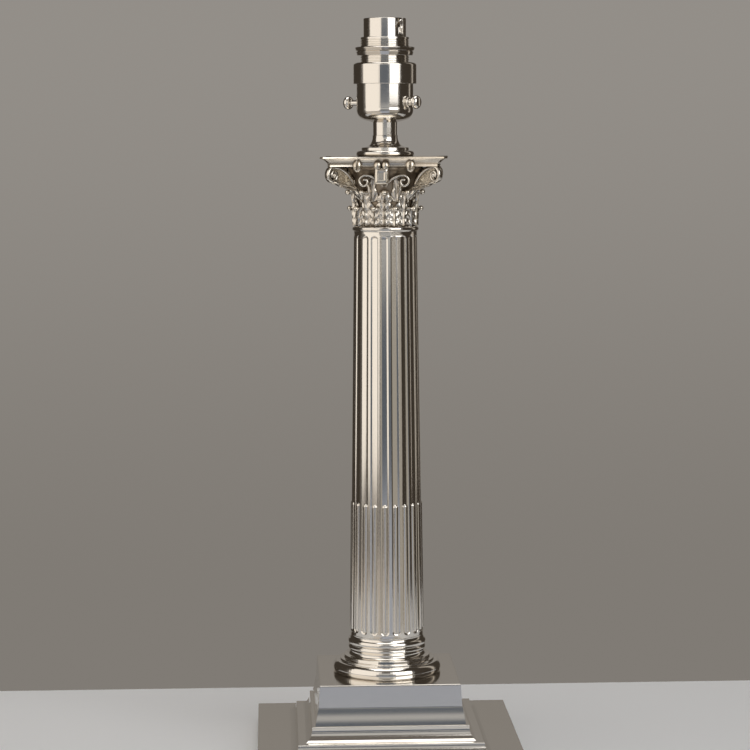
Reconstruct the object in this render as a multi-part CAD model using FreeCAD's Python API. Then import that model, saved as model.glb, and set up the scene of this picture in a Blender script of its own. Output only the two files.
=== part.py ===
import FreeCAD, Part
import os
from math import asin, atan2, cos, degrees, hypot, pi, radians, sin, sqrt

# Column table lamp: a square stepped base, a fluted and cabled column with a Corinthian
# capital, and a bayonet lampholder with a push-bar switch. Millimetres, +Z up. The origin is
# on the table, on the axis of the column. The front of the lamp faces -Y.

os.makedirs("parts", exist_ok=True)

Vector = FreeCAD.Vector
UP = Vector(0, 0, 1)
CENTRE = Vector(0, 0, 0)

# ---------------------------------------------------------------- driving sizes

# clearances and steps
running_gap = 0.05       # a shaft that slides in its bore, radial
screw_gap = 0.08         # a thread that turns on its mate, radial
slip_gap = 0.1           # parts that are pushed together by hand, radial
loose_gap = 0.3          # faces that pass each other without touching
turning_steps = 3        # flats in a round stretch of a turned outline
small_steps = 2          # the same on the small turned pieces
end_flats = 4            # flats in the round end of a flute or cable
scroll_flats = 6         # flats in each half turn of a scroll
quarter_bulge = 0.29     # how far a quarter circle stands off its chord, as a share of its radius

# square base
felt_thickness = 1.0
felt_margin = 1.0
slab_width = 156.0
slab_height = 12.0
slab_wall = 2.0
slab_corner = 1.6
moulding_height = 15.4
moulding_foot_rim = 1.4
lower_step_height = 7.0
lower_step_hollow = 0.7
upper_step_hollow = 0.9
step_rim = 1.2
pedestal_height = 23.5
pedestal_top_width = 82.6
pedestal_batter = 1.8    # how much wider its faces are below than at the top
pedestal_sweep = 3.2     # how much wider its foot is than its faces
pedestal_sweep_height = 5.0
pedestal_sweep_hollow = 0.5
pedestal_edge = 0.8
base_wall = 2.6
upper_ledge = 4.2        # each ledge and slope of the steps, across both sides
upper_slope = 7.2
lower_ledge = 9.2
lower_slope = 7.8

# clamping rod through the column
tube_radius = 5.0
tube_bore = 3.6
tube_end = 1.6           # length of rod that shows past each nut
nut_width = 14.0         # across the flats
nut_height = 4.0
lock_nut_height = 3.0
washer_radius = 12.5
washer_thickness = 1.5
nut_recess_depth = 7.2

# cord outlet at the back of the base
bush_radius = 4.0
bush_bore = 2.75
bush_length = 5.0
bush_height = 5.2        # centre of the bush above the underside of the slab
cord_channel_width = 9.0

# column
foot_height = 15.9
foot_radius = 31.2
torus_height = 5.6
torus_bulge = 1.5
torus_top_radius = 30.4
lower_fillet_radius = 28.1
lower_fillet_height = 1.6
upper_fillet_radius = 25.8
upper_fillet_height = 1.5
scotia_radius = 24.2
scotia_height = 3.8
scotia_hollow = 1.3
foot_ring_radius = 22.9
foot_ring_bulge = 0.35
shaft_height = 247.3
shaft_foot_radius = 21.9
shaft_neck_radius = 18.75
shaft_flare = 0.9
shaft_flare_height = 4.2
shaft_bore = 15.0
spigot_height = 6.0
flute_count = 20
flute_width = 5.3        # at the foot of the shaft
flute_depth = 1.75
flute_neck_depth = 1.3
flute_low_margin = 8.6   # plain shaft below the flutes
flute_high_margin = 2.2  # plain shaft above the flutes
cable_height = 87.2      # top of the cabled part above the foot of the shaft
cable_radius = 1.95
cable_rise = 0.3         # how far the cables stand proud of the shaft
cable_margin = 0.7       # groove below the foot of a cable

# astragal and capital
astragal_height = 3.2
astragal_radius = 18.7
astragal_bulge = 1.1
bell_height = 35.1
bell_foot_radius = 17.7
bell_straight = 16.0     # how far the bell goes straight up before it swells
bell_lip_radius = 21.6
bell_lip_height = 2.4
bell_wall = 4.0
lower_leaf_start = 0.8
lower_leaf_height = 9.4
lower_leaf_curl = 1.5
upper_leaf_start = 4.0
upper_leaf_height = 15.6
leaf_gap = 0.5           # between neighbours at their widest
upper_leaf_curl = 2.6
leaf_thickness = 1.5
leaf_rows = 4
leaf_notch = 0.2         # depth of the notches in its edge, as a share of its half width
leaf_taper = 0.6         # how much narrower it is at its tip, as a share
leaf_rib = 1.9           # height of its middle rib, in thicknesses
leaf_rib_fall = 0.7
leaf_root = 0.4          # how deep its foot is sunk in the bell, in thicknesses
leaf_curl_turns = (70, 140)
# section of a leaf, as shares of its half width and of the height of its rib
leaf_section = ((-1.0, 0.4), (0.0, 1.0), (1.0, 0.4), (0.0, -0.1))
volute_reach = 41.9      # distance of the eye of a corner volute from the axis
volute_drop = 0.9        # top of the volute below the abacus
volute_radius = 4.1
volute_step = 0.9
volute_width = 5.2
volute_band = 1.1
volute_stem_radius = 17.0
volute_stem_turn = 68.0  # degrees
volute_root_height = 14.0
volute_web_share = 0.6
volute_web_sag = 0.8
volute_root_spread = 2.0
volute_root_rise = 1.0
volute_turns = 3         # half turns
eye_radius = 1.94
eye_proud = 0.5          # how far the eyes stand out on each side
helix_angle = 27.0       # degrees from the middle of a side
helix_drop = 5.6
helix_radius = 2.7
helix_step = 0.8
helix_band = 1.0
helix_stem_radius = 9.5
helix_stem_turn = 62.0
helix_reach = 24.2
helix_turns = 2
abacus_height = 5.6
abacus_rim = 1.5
abacus_half = 36.5       # from the axis to the tips, along X
abacus_tip = 6.2         # length of the cut across each corner
abacus_hollow = 7.0      # depth of the curve in each side
abacus_slope = 3.8       # how far the moulding draws in below the rim
abacus_lip = 0.5
abacus_cove = 0.7
bud_offset = 15.6
bud_half_length = 4.1
bud_radius = 2.3
bud_height = 1.6         # centre of a bud above the foot of the abacus
bud_proud = 2.4          # how far its centre stands off the foot of the abacus
seed_sides = 6           # buds and petals are pointed ovals in small flats
seed_rows = (-0.95, -0.4, 0.4, 0.95)
flower_width = 8.2
flower_height = 9.0
flower_front = 27.9
flower_edge = 1.4
petal_offset = 2.3
petal_radius = 2.1
petal_half_length = 3.2
petal_height = 1.0       # centre of a petal above the foot of the abacus

# cap and neck that carry the lampholder
cap_height = 12.2
cap_radius = 16.3
cap_bulge = 0.8
cap_edge_height = 3.4
cap_step_radius = 14.0
cap_step_height = 1.8
cap_flare_radius = 13.2
neck_radius = 7.1
neck_height = 7.6
cap_flare_hollow = 1.9
neck_seat = 0.3          # how far the cap stands out round the foot of the neck

# lampholder
cup_height = 29.2
cup_radius = 16.8
cup_wall = 1.0
cup_floor = 2.6
cup_dome_radius = 12.2
cup_dome_rise = 1.7
cup_corner_height = 7.8
cup_corner_bulge = 1.5
collar_height = 12.4
collar_overlap = 6.8     # how far the collar reaches down over the cup
collar_radius = 18.7
collar_edge = 1.1
collar_shoulder = 2.2
barrel_radius = 14.35
barrel_length = 14.8     # threaded length above the collar
shell_radius = 12.6
shell_bore = 11.4
shell_length = 10.9
shell_step = 0.2         # how much narrower the shell is inside below its mouth
slot_width = 3.8
slot_depth = 9.5
slot_hook = 7.6          # along the circle, entry included
slot_angle = -43.0       # degrees from +X, middle of the entry
insulator_top = 15.3     # below the mouth of the shell
insulator_drop = 14.0    # depth of the wide part in the cup
contact_offset = 5.3
contact_radius = 2.4
contact_travel = 4.0
contact_rim = 0.7
contact_rim_height = 2.0
contact_seat = 3.0       # thickness of insulator that holds the rim down
spring_length = 11.5
spring_wall = 0.7
pillar_length = 11.0
earth_block = 3.0
earth_block_length = 5.0
earth_block_offset = 10.4

# push-bar switch
bar_angle = -35.0        # degrees from +X to the near end of the bar
bar_radius = 1.6
bar_height = 11.6        # axis of the bar above the foot of the cup
bar_stroke = 4.2
bar_tenon_radius = 1.0
bar_tenon_length = 2.6
knob_radius = 3.95
knob_thickness = 4.4
knob_edge = 1.2
switch_bush_radius = 3.2
switch_bush_thickness = 2.1
switch_bush_tail = 0.6
carriage_length = 9.0
carriage_width = 7.0
carriage_height = 6.4

# shade ring
ring_low = 4.1           # lower face above the collar
ring_height = 4.9
ring_skirt_height = 2.5
ring_skirt_radius = 16.9
ring_flange_radius = 17.2
ring_radius = 17.75

# ---------------------------------------------------------------- heights that follow

slab_bottom = felt_thickness
slab_top = slab_bottom + slab_height
moulding_top = slab_top + moulding_height
pedestal_top = moulding_top + pedestal_height
foot_top = pedestal_top + foot_height
shaft_top = foot_top + shaft_height
astragal_top = shaft_top + astragal_height
bell_top = astragal_top + bell_height
abacus_top = bell_top + abacus_height
cap_top = abacus_top + cap_height
neck_top = cap_top + neck_height
cup_top = neck_top + cup_height
collar_bottom = cup_top - collar_overlap
collar_top = collar_bottom + collar_height
barrel_top = collar_top + barrel_length
shell_top = barrel_top + shell_length
insulator_face = shell_top - insulator_top
bar_axis = neck_top + bar_height
recess_roof = slab_bottom + nut_recess_depth
tube_bottom = recess_roof - washer_thickness - nut_height - tube_end
tube_top = neck_top + cup_floor + lock_nut_height + tube_end

pedestal_face_width = pedestal_top_width + pedestal_batter
pedestal_foot_width = pedestal_face_width + pedestal_sweep
upper_step_width = pedestal_foot_width + upper_ledge
upper_step_foot_width = upper_step_width + upper_slope
lower_step_width = upper_step_foot_width + lower_ledge
moulding_foot_width = lower_step_width + lower_slope
tube_hole = tube_radius + slip_gap
spigot_radius = shaft_bore - slip_gap
cup_bore = cup_radius - cup_wall
barrel_bore = shell_bore - shell_step
collar_bore = cup_radius + screw_gap
cup_wall_start = neck_top + cup_dome_rise + cup_corner_height
spring_bore = contact_radius + contact_rim + slip_gap
leaf_count = flute_count // 2
leaf_pitch = 2 * pi * (bell_foot_radius + leaf_thickness) / leaf_count
leaf_width = (leaf_pitch - leaf_gap) / (1 + leaf_notch)
leaf_foot_width = (leaf_pitch / 2 - leaf_gap) / (1 + leaf_notch)
lower_leaf_tip = lower_leaf_start + lower_leaf_height


# ---------------------------------------------------------------- drawing helpers


class Outline:
    """A closed outline in the plane of X and Z, drawn edge by edge."""

    def __init__(self, across, height):
        self.start = Vector(across, 0, height)
        self.last = self.start
        self.edges = []

    def line(self, across, height):
        """A straight edge to the given point."""
        end = Vector(across, 0, height)
        if (end - self.last).Length > 1e-6:
            self.edges.append(Part.LineSegment(self.last, end).toShape())
        self.last = end
        return self

    def arc(self, across, height, bulge):
        """A round edge to the given point, standing out by bulge on the right of the way."""
        end = Vector(across, 0, height)
        chord = end - self.last
        side = Vector(chord.z, 0, -chord.x).normalize()
        middle = (self.last + end) * 0.5 + side * bulge
        self.edges.append(Part.Arc(self.last, middle, end).toShape())
        self.last = end
        return self

    def curve(self, across, height, bulge, steps=turning_steps):
        """The same round stretch in short flats, for outlines that are turned."""
        start = self.last
        half = hypot(across - start.x, height - start.z) / 2
        radius = (half**2 + bulge**2) / (2 * abs(bulge))
        span = 2 * asin(min(1.0, half / radius))
        if abs(bulge) > half:
            span = 2 * pi - span
        along = Vector(across - start.x, 0, height - start.z).normalize()
        side = Vector(along.z, 0, -along.x) * (1 if bulge > 0 else -1)
        middle = start + along * half + side * (abs(bulge) - radius)
        for step in range(1, steps):
            angle = span * (step / steps - 0.5)
            point = middle + along * (radius * sin(angle)) + side * (radius * cos(angle))
            self.line(point.x, point.z)
        return self.line(across, height)

    def face(self):
        """The face inside the outline, which a last straight edge closes."""
        self.line(self.start.x, self.start.z)
        return Part.Face(Part.Wire(self.edges))

    def turned(self, axis_point=CENTRE):
        """The outline turned about an upright axis."""
        return self.face().revolve(axis_point, UP, 360)


def moulded_block(outline, turns):
    """A block whose sides, one for each turn in degrees, all follow one outline."""
    reach = slab_width
    slice_body = outline.face().extrude(Vector(0, 2 * reach, 0))
    slice_body.translate(Vector(0, -reach, 0))
    block = None
    for turn in turns:
        side = slice_body.copy()
        side.rotate(CENTRE, UP, turn)
        block = side if block is None else block.common(side)
    return block


def square_block(half, bottom, height):
    """An upright square block about the axis."""
    return Part.makeBox(2 * half, 2 * half, height, Vector(-half, -half, bottom))


def disc(radius, bottom, height, across=0.0, along=0.0):
    """An upright cylinder."""
    return Part.makeCylinder(radius, height, Vector(across, along, bottom))


def ring(radius, bore, bottom, height):
    """An upright ring about the axis."""
    return disc(radius, bottom, height).cut(disc(bore, bottom, height))


def hexagon_nut(width, bottom, height):
    """A hexagonal nut on the clamping rod."""
    corner = width / sqrt(3)
    points = [Vector(corner * cos(radians(60 * side)), corner * sin(radians(60 * side)), bottom)
              for side in range(7)]
    nut = Part.Face(Part.makePolygon(points)).extrude(Vector(0, 0, height))
    return nut.cut(disc(tube_radius + screw_gap, bottom, height))


def around(shape, count, first=0.0):
    """Copies of a shape at equal steps round the axis."""
    copies = []
    for step in range(count):
        copy = shape.copy()
        copy.rotate(CENTRE, UP, first + 360.0 * step / count)
        copies.append(copy)
    return copies


def save(shape, name):
    """Writes one piece under its own name."""
    shape.exportStep("parts/" + name + ".step")


# ---------------------------------------------------------------- square base


def make_base_slab():
    """The lowest plate: a square tray, open below, with the cord hole in its back wall."""
    half = slab_width / 2
    slab = square_block(half, slab_bottom, slab_height)
    upright = [edge for edge in slab.Edges if abs(edge.tangentAt(edge.FirstParameter).z) > 0.9]
    slab = slab.makeFillet(slab_corner, upright)
    slab = slab.cut(square_block(half - slab_wall, slab_bottom, slab_height - slab_wall))
    slab = slab.cut(disc(tube_hole, slab_bottom, slab_height))
    hole = Part.makeCylinder(bush_radius + slip_gap, slab_wall, cord_mouth(), Vector(0, -1, 0))
    return slab.cut(hole)


def cord_mouth():
    """The middle of the cord outlet, on the back face of the slab."""
    return Vector(0, slab_width / 2, slab_bottom + bush_height)


def make_step_moulding():
    """Two steps with hollow fronts between the slab and the pedestal, open inside."""
    lower_top = slab_top + lower_step_height
    outline = Outline(-slab_width, slab_top)
    outline.line(moulding_foot_width / 2, slab_top)
    outline.line(moulding_foot_width / 2, slab_top + moulding_foot_rim)
    outline.arc(lower_step_width / 2, lower_top - step_rim, -lower_step_hollow)
    outline.line(lower_step_width / 2, lower_top)
    outline.line(upper_step_foot_width / 2, lower_top)
    outline.arc(upper_step_width / 2, moulding_top - step_rim, -upper_step_hollow)
    outline.line(upper_step_width / 2, moulding_top)
    outline.line(-slab_width, moulding_top)
    moulding = moulded_block(outline, range(0, 360, 90))
    well = pedestal_foot_width / 2 - base_wall - slip_gap
    return moulding.cut(square_block(well, slab_top, moulding_height))


def make_pedestal_block():
    """The upright block under the column: a square shell with a closed top."""
    outline = Outline(-slab_width, moulding_top)
    outline.line(pedestal_foot_width / 2, moulding_top)
    outline.arc(pedestal_face_width / 2, moulding_top + pedestal_sweep_height,
                -pedestal_sweep_hollow)
    outline.line(pedestal_top_width / 2, pedestal_top - pedestal_edge)
    outline.arc(pedestal_top_width / 2 - pedestal_edge, pedestal_top,
                quarter_bulge * pedestal_edge)
    outline.line(-slab_width, pedestal_top)
    block = moulded_block(outline, range(0, 360, 90))
    well = pedestal_top_width / 2 - base_wall
    block = block.cut(square_block(well, moulding_top, pedestal_height - base_wall))
    return block.cut(disc(tube_hole, moulding_top, pedestal_height))


def make_base_weight():
    """The iron plate inside the slab, with the nut's recess and the way for the cord."""
    height = slab_height - slab_wall
    weight = square_block(slab_width / 2 - slab_wall - loose_gap, slab_bottom, height)
    weight = weight.cut(disc(washer_radius + 1.0, slab_bottom, nut_recess_depth))
    weight = weight.cut(disc(tube_hole, slab_bottom, height))
    channel = Part.makeBox(cord_channel_width, slab_width / 2, bush_height + bush_radius + slip_gap,
                           Vector(-cord_channel_width / 2, 0, slab_bottom))
    return weight.cut(channel)


def make_felt_pad():
    """The baize that the lamp stands on."""
    return square_block(slab_width / 2 - felt_margin, 0, felt_thickness)


def make_cord_bush():
    """The insulating sleeve that the cord leaves by, flush with the back of the slab."""
    backward = Vector(0, -1, 0)
    sleeve = Part.makeCylinder(bush_radius, bush_length, cord_mouth(), backward)
    return sleeve.cut(Part.makeCylinder(bush_bore, bush_length, cord_mouth(), backward))


# ---------------------------------------------------------------- clamping rod


def make_centre_tube():
    """The hollow rod that clamps the whole lamp together and carries the flex."""
    return ring(tube_radius, tube_bore, tube_bottom, tube_top - tube_bottom)


def make_rod_fasteners():
    """The washer and nut that draw the rod down, and the nut that holds the cup on it."""
    washer_bottom = recess_roof - washer_thickness
    return Part.makeCompound([ring(washer_radius, tube_hole, washer_bottom, washer_thickness),
                              hexagon_nut(nut_width, washer_bottom - nut_height, nut_height),
                              hexagon_nut(nut_width, neck_top + cup_floor, lock_nut_height)])


# ---------------------------------------------------------------- column


def shaft_radius(height):
    """Radius of the plain shaft, which tapers evenly from foot to neck."""
    share = (height - foot_top) / (shaft_top - foot_top)
    return shaft_foot_radius + share * (shaft_neck_radius - shaft_foot_radius)


def rounded_slot(half_width, low, high, reach):
    """A block with half-round ends that runs out along X, for cutting things to length."""
    outline = Outline(half_width, low + half_width)
    outline.line(half_width, high - half_width)
    outline.curve(-half_width, high - half_width, half_width, end_flats)
    outline.line(-half_width, low + half_width)
    outline.curve(half_width, low + half_width, half_width, end_flats)
    block = outline.face().extrude(Vector(0, reach, 0))
    block.rotate(CENTRE, UP, -90)
    return block


def leaning_rod(low, high, radius, low_offset, high_offset):
    """A straight rod between two heights, with its axis at a given offset at each of them."""
    drift = low_offset - high_offset
    lean = atan2(drift, high - low)
    spare = 2 * radius
    rod = Part.makeCylinder(radius, hypot(high - low, drift) + 2 * spare, Vector(0, 0, -spare))
    rod.rotate(CENTRE, Vector(0, 1, 0), -degrees(lean))
    rod.translate(Vector(low_offset, 0, low))
    return rod


def make_flute(low, high):
    """The tool that cuts one flute, shallower towards the neck, so that its land stays even."""
    radius = (flute_width**2 / 4 + flute_depth**2) / (2 * flute_depth)
    rod = leaning_rod(low, high, radius, shaft_radius(low) - flute_depth + radius,
                      shaft_radius(high) - flute_neck_depth + radius)
    return rod.common(rounded_slot(flute_width / 2, low, high, 2 * foot_radius))


def make_cable(low, high):
    """One cable, which fills the lower part of a flute and leaves a groove on each side."""
    sunk = cable_radius - cable_rise
    rod = leaning_rod(low, high, cable_radius, shaft_radius(low) - sunk, shaft_radius(high) - sunk)
    return rod.common(rounded_slot(cable_radius, low, high, 2 * foot_radius))


def make_fluted_column():
    """The hollow column: turned foot, tapered shaft with flutes and cables, and astragal."""
    torus_top = pedestal_top + torus_height
    lower_fillet_top = torus_top + lower_fillet_height
    upper_fillet_top = lower_fillet_top + upper_fillet_height
    scotia_top = upper_fillet_top + scotia_height
    flare_top = foot_top + shaft_flare_height
    outline = Outline(shaft_bore, pedestal_top)
    outline.line(foot_radius, pedestal_top)
    outline.curve(torus_top_radius, torus_top, torus_bulge)
    outline.line(lower_fillet_radius, torus_top)
    outline.line(lower_fillet_radius, lower_fillet_top)
    outline.line(upper_fillet_radius, lower_fillet_top)
    outline.line(upper_fillet_radius, upper_fillet_top)
    outline.line(scotia_radius, upper_fillet_top)
    outline.curve(foot_ring_radius, scotia_top, -scotia_hollow)
    outline.curve(foot_ring_radius, foot_top, foot_ring_bulge, 2)
    outline.line(shaft_foot_radius + shaft_flare, foot_top)
    outline.curve(shaft_radius(flare_top), flare_top, -shaft_flare / 3, 2)
    outline.line(shaft_radius(shaft_top), shaft_top)
    outline.line(astragal_radius, shaft_top)
    outline.curve(astragal_radius, astragal_top, astragal_bulge)
    outline.line(shaft_bore, astragal_top)
    column = outline.turned()

    low = foot_top + flute_low_margin
    flute = make_flute(low, shaft_top - flute_high_margin)
    cable = make_cable(low + cable_margin, foot_top + cable_height)
    column = column.cut(around(flute, flute_count, -90.0))
    return column.fuse(around(cable, flute_count, -90.0)).removeSplitter()


# ---------------------------------------------------------------- capital


def bell_radius(height):
    """Radius of the bell below its lip, which swells above its straight part."""
    swell = bell_height - bell_lip_height - bell_straight
    share = max(0.0, (height - astragal_top - bell_straight) / swell)
    return bell_foot_radius + (bell_lip_radius - bell_foot_radius) * share


def make_bell():
    """The body of the capital, hollow for the rod, with the spigot that centres it."""
    inner = bell_foot_radius - bell_wall
    lip_bottom = bell_top - bell_lip_height
    outline = Outline(tube_hole, bell_top)
    outline.line(tube_hole, bell_top - bell_wall)
    outline.line(inner, bell_top - bell_wall)
    outline.line(inner, shaft_top - spigot_height)
    outline.line(spigot_radius, shaft_top - spigot_height)
    outline.line(spigot_radius, astragal_top)
    outline.line(bell_foot_radius, astragal_top)
    outline.line(bell_foot_radius, astragal_top + bell_straight)
    outline.line(bell_lip_radius, lip_bottom)
    outline.line(bell_lip_radius, bell_top)
    return outline.turned()


def faceted_solid(rings):
    """A closed solid with flat three-sided faces between rings of equally many points."""
    faces = []
    count = len(rings[0])
    for low, high in zip(rings, rings[1:]):
        for side in range(count):
            after = (side + 1) % count
            for corners in ((low[side], low[after], high[after]),
                            (low[side], high[after], high[side])):
                faces.append(Part.Face(Part.makePolygon([*corners, corners[0]])))
    for end in (rings[0], rings[-1]):
        for side in range(1, count - 1):
            corners = (end[0], end[side], end[side + 1])
            faces.append(Part.Face(Part.makePolygon([*corners, corners[0]])))
    solid = Part.Solid(Part.Shell(faces))
    if solid.Volume < 0:
        solid.reverse()
    return solid


def leaf(start, height, curl):
    """One acanthus leaf that climbs the bell and bends over at its tip, facing +X.

    It is narrow where the leaves of both tiers stand side by side, and wide above them.
    """
    foot = astragal_top + start
    bend = height - curl
    stations = [(foot + bend * row / leaf_rows, 0.0) for row in range(leaf_rows + 1)]
    stations += [(foot + bend, radians(turn)) for turn in leaf_curl_turns]
    rings = []
    for number, (height_here, turn) in enumerate(stations):
        share = number / (len(stations) - 1)
        notch = 1 + leaf_notch * (1 if number % 2 else -1)
        width = leaf_foot_width if height_here < astragal_top + lower_leaf_tip else leaf_width
        half = width / 2 * (1 - leaf_taper * share**2) * notch
        root = bell_radius(height_here) - leaf_thickness * leaf_root * (1 - share)
        centre = Vector(root + curl, 0, height_here)
        # each station has an axis along the leaf and a front that turns over with the tip
        front = Vector(cos(turn), 0, -sin(turn))
        back_point = centre - front * curl
        rib = leaf_thickness * (leaf_rib - leaf_rib_fall * share)
        ring_points = []
        for across, rise in leaf_section:
            radial = back_point + front * (rib * rise)
            angle = across * half / (root + leaf_thickness)
            ring_points.append(Vector(radial.x * cos(angle), radial.x * sin(angle), radial.z))
        rings.append(ring_points)
    return faceted_solid(rings)


def flats_in(turn):
    """How many flats of a scroll there are in a turn of so many degrees."""
    return max(2, round(scroll_flats * abs(turn) / 180))


def scroll(across, top, radius, step, half_turns, band, stem_radius, stem_turn):
    """The face of a rising stem that rolls into a spiral, as a band of even width in short flats.

    Every arc turns the same way about a point straight above or below the last one, so the
    band runs on evenly. The top of its middle line is at the given point.
    """
    arcs = [(top - stem_radius, stem_radius, 90 + stem_turn, 90)]
    here = top
    side = 90
    for turn in range(half_turns):
        turn_radius = radius - step * turn
        centre = here - turn_radius if side == 90 else here + turn_radius
        arcs.append((centre, turn_radius, side, side - 180))
        here = 2 * centre - here
        side = -side

    def side_points(shift):
        found = []
        for centre, arc_radius, first, last in arcs:
            flats = flats_in(first - last)
            reach = arc_radius + shift
            for step in range(flats + 1):
                angle = radians(first + (last - first) * step / flats)
                found.append(Vector(across + reach * cos(angle), 0, centre + reach * sin(angle)))
        return [found[0]] + [after for before, after in zip(found, found[1:])
                             if (after - before).Length > 1e-6]

    outer = side_points(band / 2)
    inner = side_points(-band / 2)
    return Part.Face(Part.makePolygon([*outer, *reversed(inner), outer[0]]))


def thickened(face, width):
    """A face in the plane of X and Z made into a plate with the plane in its middle."""
    plate = face.extrude(Vector(0, width, 0))
    plate.translate(Vector(0, -width / 2, 0))
    return plate


def corner_volute():
    """One corner volute facing +X: a spiral band, its eye and the leaf that fills its stem."""
    top = bell_top - volute_drop - volute_band / 2
    band = thickened(scroll(volute_reach, top, volute_radius, volute_step, volute_turns, volute_band,
                            volute_stem_radius, volute_stem_turn), volute_width)
    stem_angle = radians(90 + volute_stem_turn)
    stem_start = Vector(volute_reach + volute_stem_radius * cos(stem_angle), 0,
                        top - volute_stem_radius + volute_stem_radius * sin(stem_angle))
    web = Outline(stem_start.x, stem_start.z)
    web.line(bell_foot_radius, stem_start.z)
    web.line(bell_foot_radius, bell_top - volute_root_height)
    web.line(bell_lip_radius + volute_root_spread, bell_top - volute_root_height + volute_root_rise)
    web.curve(volute_reach, top - 2 * volute_radius, -volute_web_sag)
    web.curve(volute_reach, top, volute_radius, scroll_flats)
    chord = hypot(volute_reach - stem_start.x, top - stem_start.z)
    web.curve(stem_start.x, stem_start.z,
              -(volute_stem_radius - sqrt(volute_stem_radius**2 - chord**2 / 4)),
              flats_in(volute_stem_turn))
    plate = thickened(web.face(), volute_width * volute_web_share)
    eye = Part.makeCylinder(eye_radius, volute_width + 2 * eye_proud,
                            Vector(volute_reach, -volute_width / 2 - eye_proud, top - volute_radius),
                            Vector(0, 1, 0))
    return band.fuse([plate, eye])


def inner_helices():
    """The pair of small curls on one side, which spring from the middle, facing +X."""
    pair = []
    curl = scroll(0.0, bell_top - helix_drop, helix_radius, helix_step, helix_turns, helix_band,
                  helix_stem_radius, helix_stem_turn)
    curl = curl.extrude(Vector(0, helix_reach - bell_foot_radius, 0))
    curl.translate(Vector(0, -helix_reach, 0))
    curl.rotate(CENTRE, UP, 90.0)
    for side in (-1, 1):
        copy = curl if side == 1 else curl.mirror(CENTRE, Vector(0, 1, 0))
        turned = copy.copy()
        turned.rotate(CENTRE, UP, side * helix_angle)
        pair.append(turned)
    return pair


def make_capital():
    """The capital: bell, two tiers of leaves, inner helices and corner volutes, in one piece."""
    lower = leaf(lower_leaf_start, lower_leaf_height, lower_leaf_curl)
    upper = leaf(upper_leaf_start, upper_leaf_height, upper_leaf_curl)
    ornaments = around(lower, leaf_count, -90.0 + 180.0 / leaf_count)
    ornaments += around(upper, leaf_count, -90.0)
    flower_room = flower_block(loose_gap)
    for helix in inner_helices():
        ornaments += around(helix.cut(flower_room), 4, -90.0)
    ornaments += around(corner_volute(), 4, -45.0)
    return make_bell().fuse(ornaments)


def make_abacus():
    """The hollow-sided plate on the capital, with its middle flowers and leaf buds."""
    rim_bottom = abacus_top - abacus_rim
    outline = Outline(-slab_width, bell_top)
    tip = abacus_half * sqrt(2) - abacus_tip / 2
    outline.line(tip - abacus_slope, bell_top)
    outline.arc(tip - abacus_lip, rim_bottom, -abacus_cove)
    outline.line(tip, rim_bottom)
    outline.line(tip, abacus_top)
    outline.line(-slab_width, abacus_top)
    plate = moulded_block(outline, range(45, 405, 90))

    half_side = abacus_half - abacus_tip / sqrt(2)
    sweep = (half_side**2 + abacus_hollow**2) / (2 * abacus_hollow)
    side_axis = Vector(abacus_half - abacus_hollow + sweep, 0, 0)
    cutter = Outline(side_axis.x + sweep, abacus_top + 1.0)
    cutter.line(side_axis.x, abacus_top + 1.0)
    cutter.line(side_axis.x, bell_top - 1.0)
    cutter.line(side_axis.x + sweep + abacus_slope, bell_top - 1.0)
    cutter.line(side_axis.x + sweep + abacus_slope, bell_top)
    cutter.curve(side_axis.x + sweep + abacus_lip, rim_bottom, abacus_cove, 2)
    cutter.line(side_axis.x + sweep, rim_bottom)
    plate = plate.cut(around(cutter.turned(side_axis), 4))

    ornaments = around(middle_flower(), 4)
    bud = seed(bud_radius, bud_half_length)
    across = abacus_half - abacus_hollow - abacus_slope + bud_proud
    for side in (-1, 1):
        copy = bud.copy()
        copy.translate(Vector(across, side * bud_offset, bell_top + bud_height))
        ornaments += around(copy, 4)
    return plate.fuse(ornaments).cut(disc(tube_hole, bell_top, abacus_height))


def seed(radius, half_length):
    """An upright pointed oval about the origin, in small flats."""
    rings = []
    for row in seed_rows:
        width = radius * (1 - row**2)
        rings.append([Vector(width * cos(2 * pi * side / seed_sides),
                             width * sin(2 * pi * side / seed_sides), row * half_length)
                      for side in range(seed_sides)])
    return faceted_solid(rings)


def flower_block(spare=0.0):
    """The plain block of the boss on one side, facing +X, or the room for it with some to spare."""
    back = bell_lip_radius + loose_gap - spare
    return Part.makeBox(flower_front - back + spare, flower_width + 2 * spare, flower_height + spare,
                        Vector(back, -flower_width / 2 - spare, bell_top - flower_height - spare))


def middle_flower():
    """The boss that hangs from the middle of one side, with two petals above, facing +X."""
    boss = flower_block()
    front_edges = [edge for edge in boss.Edges if edge.CenterOfMass.x > flower_front - 0.01]
    boss = boss.makeChamfer(flower_edge, front_edges)
    petals = []
    for side in (-1, 1):
        petal = seed(petal_radius, petal_half_length)
        petal.translate(Vector(flower_front - petal_radius, side * petal_offset, bell_top + petal_height))
        petals.append(petal)
    return boss.fuse(petals)


# ---------------------------------------------------------------- cap and neck


def make_flared_cap():
    """The turned cap on the abacus, which sweeps up to the neck."""
    outline = Outline(tube_hole, abacus_top)
    outline.line(cap_radius, abacus_top)
    outline.curve(cap_radius, abacus_top + cap_edge_height, cap_bulge, small_steps)
    outline.line(cap_step_radius, abacus_top + cap_edge_height)
    outline.line(cap_step_radius, abacus_top + cap_edge_height + cap_step_height)
    outline.line(cap_flare_radius, abacus_top + cap_edge_height + cap_step_height)
    outline.curve(neck_radius + neck_seat, cap_top, -cap_flare_hollow, small_steps)
    outline.line(tube_hole, cap_top)
    return outline.turned()


def make_neck():
    """The short round distance piece under the cup."""
    return ring(neck_radius, tube_hole, cap_top, neck_height)


# ---------------------------------------------------------------- lampholder


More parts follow.
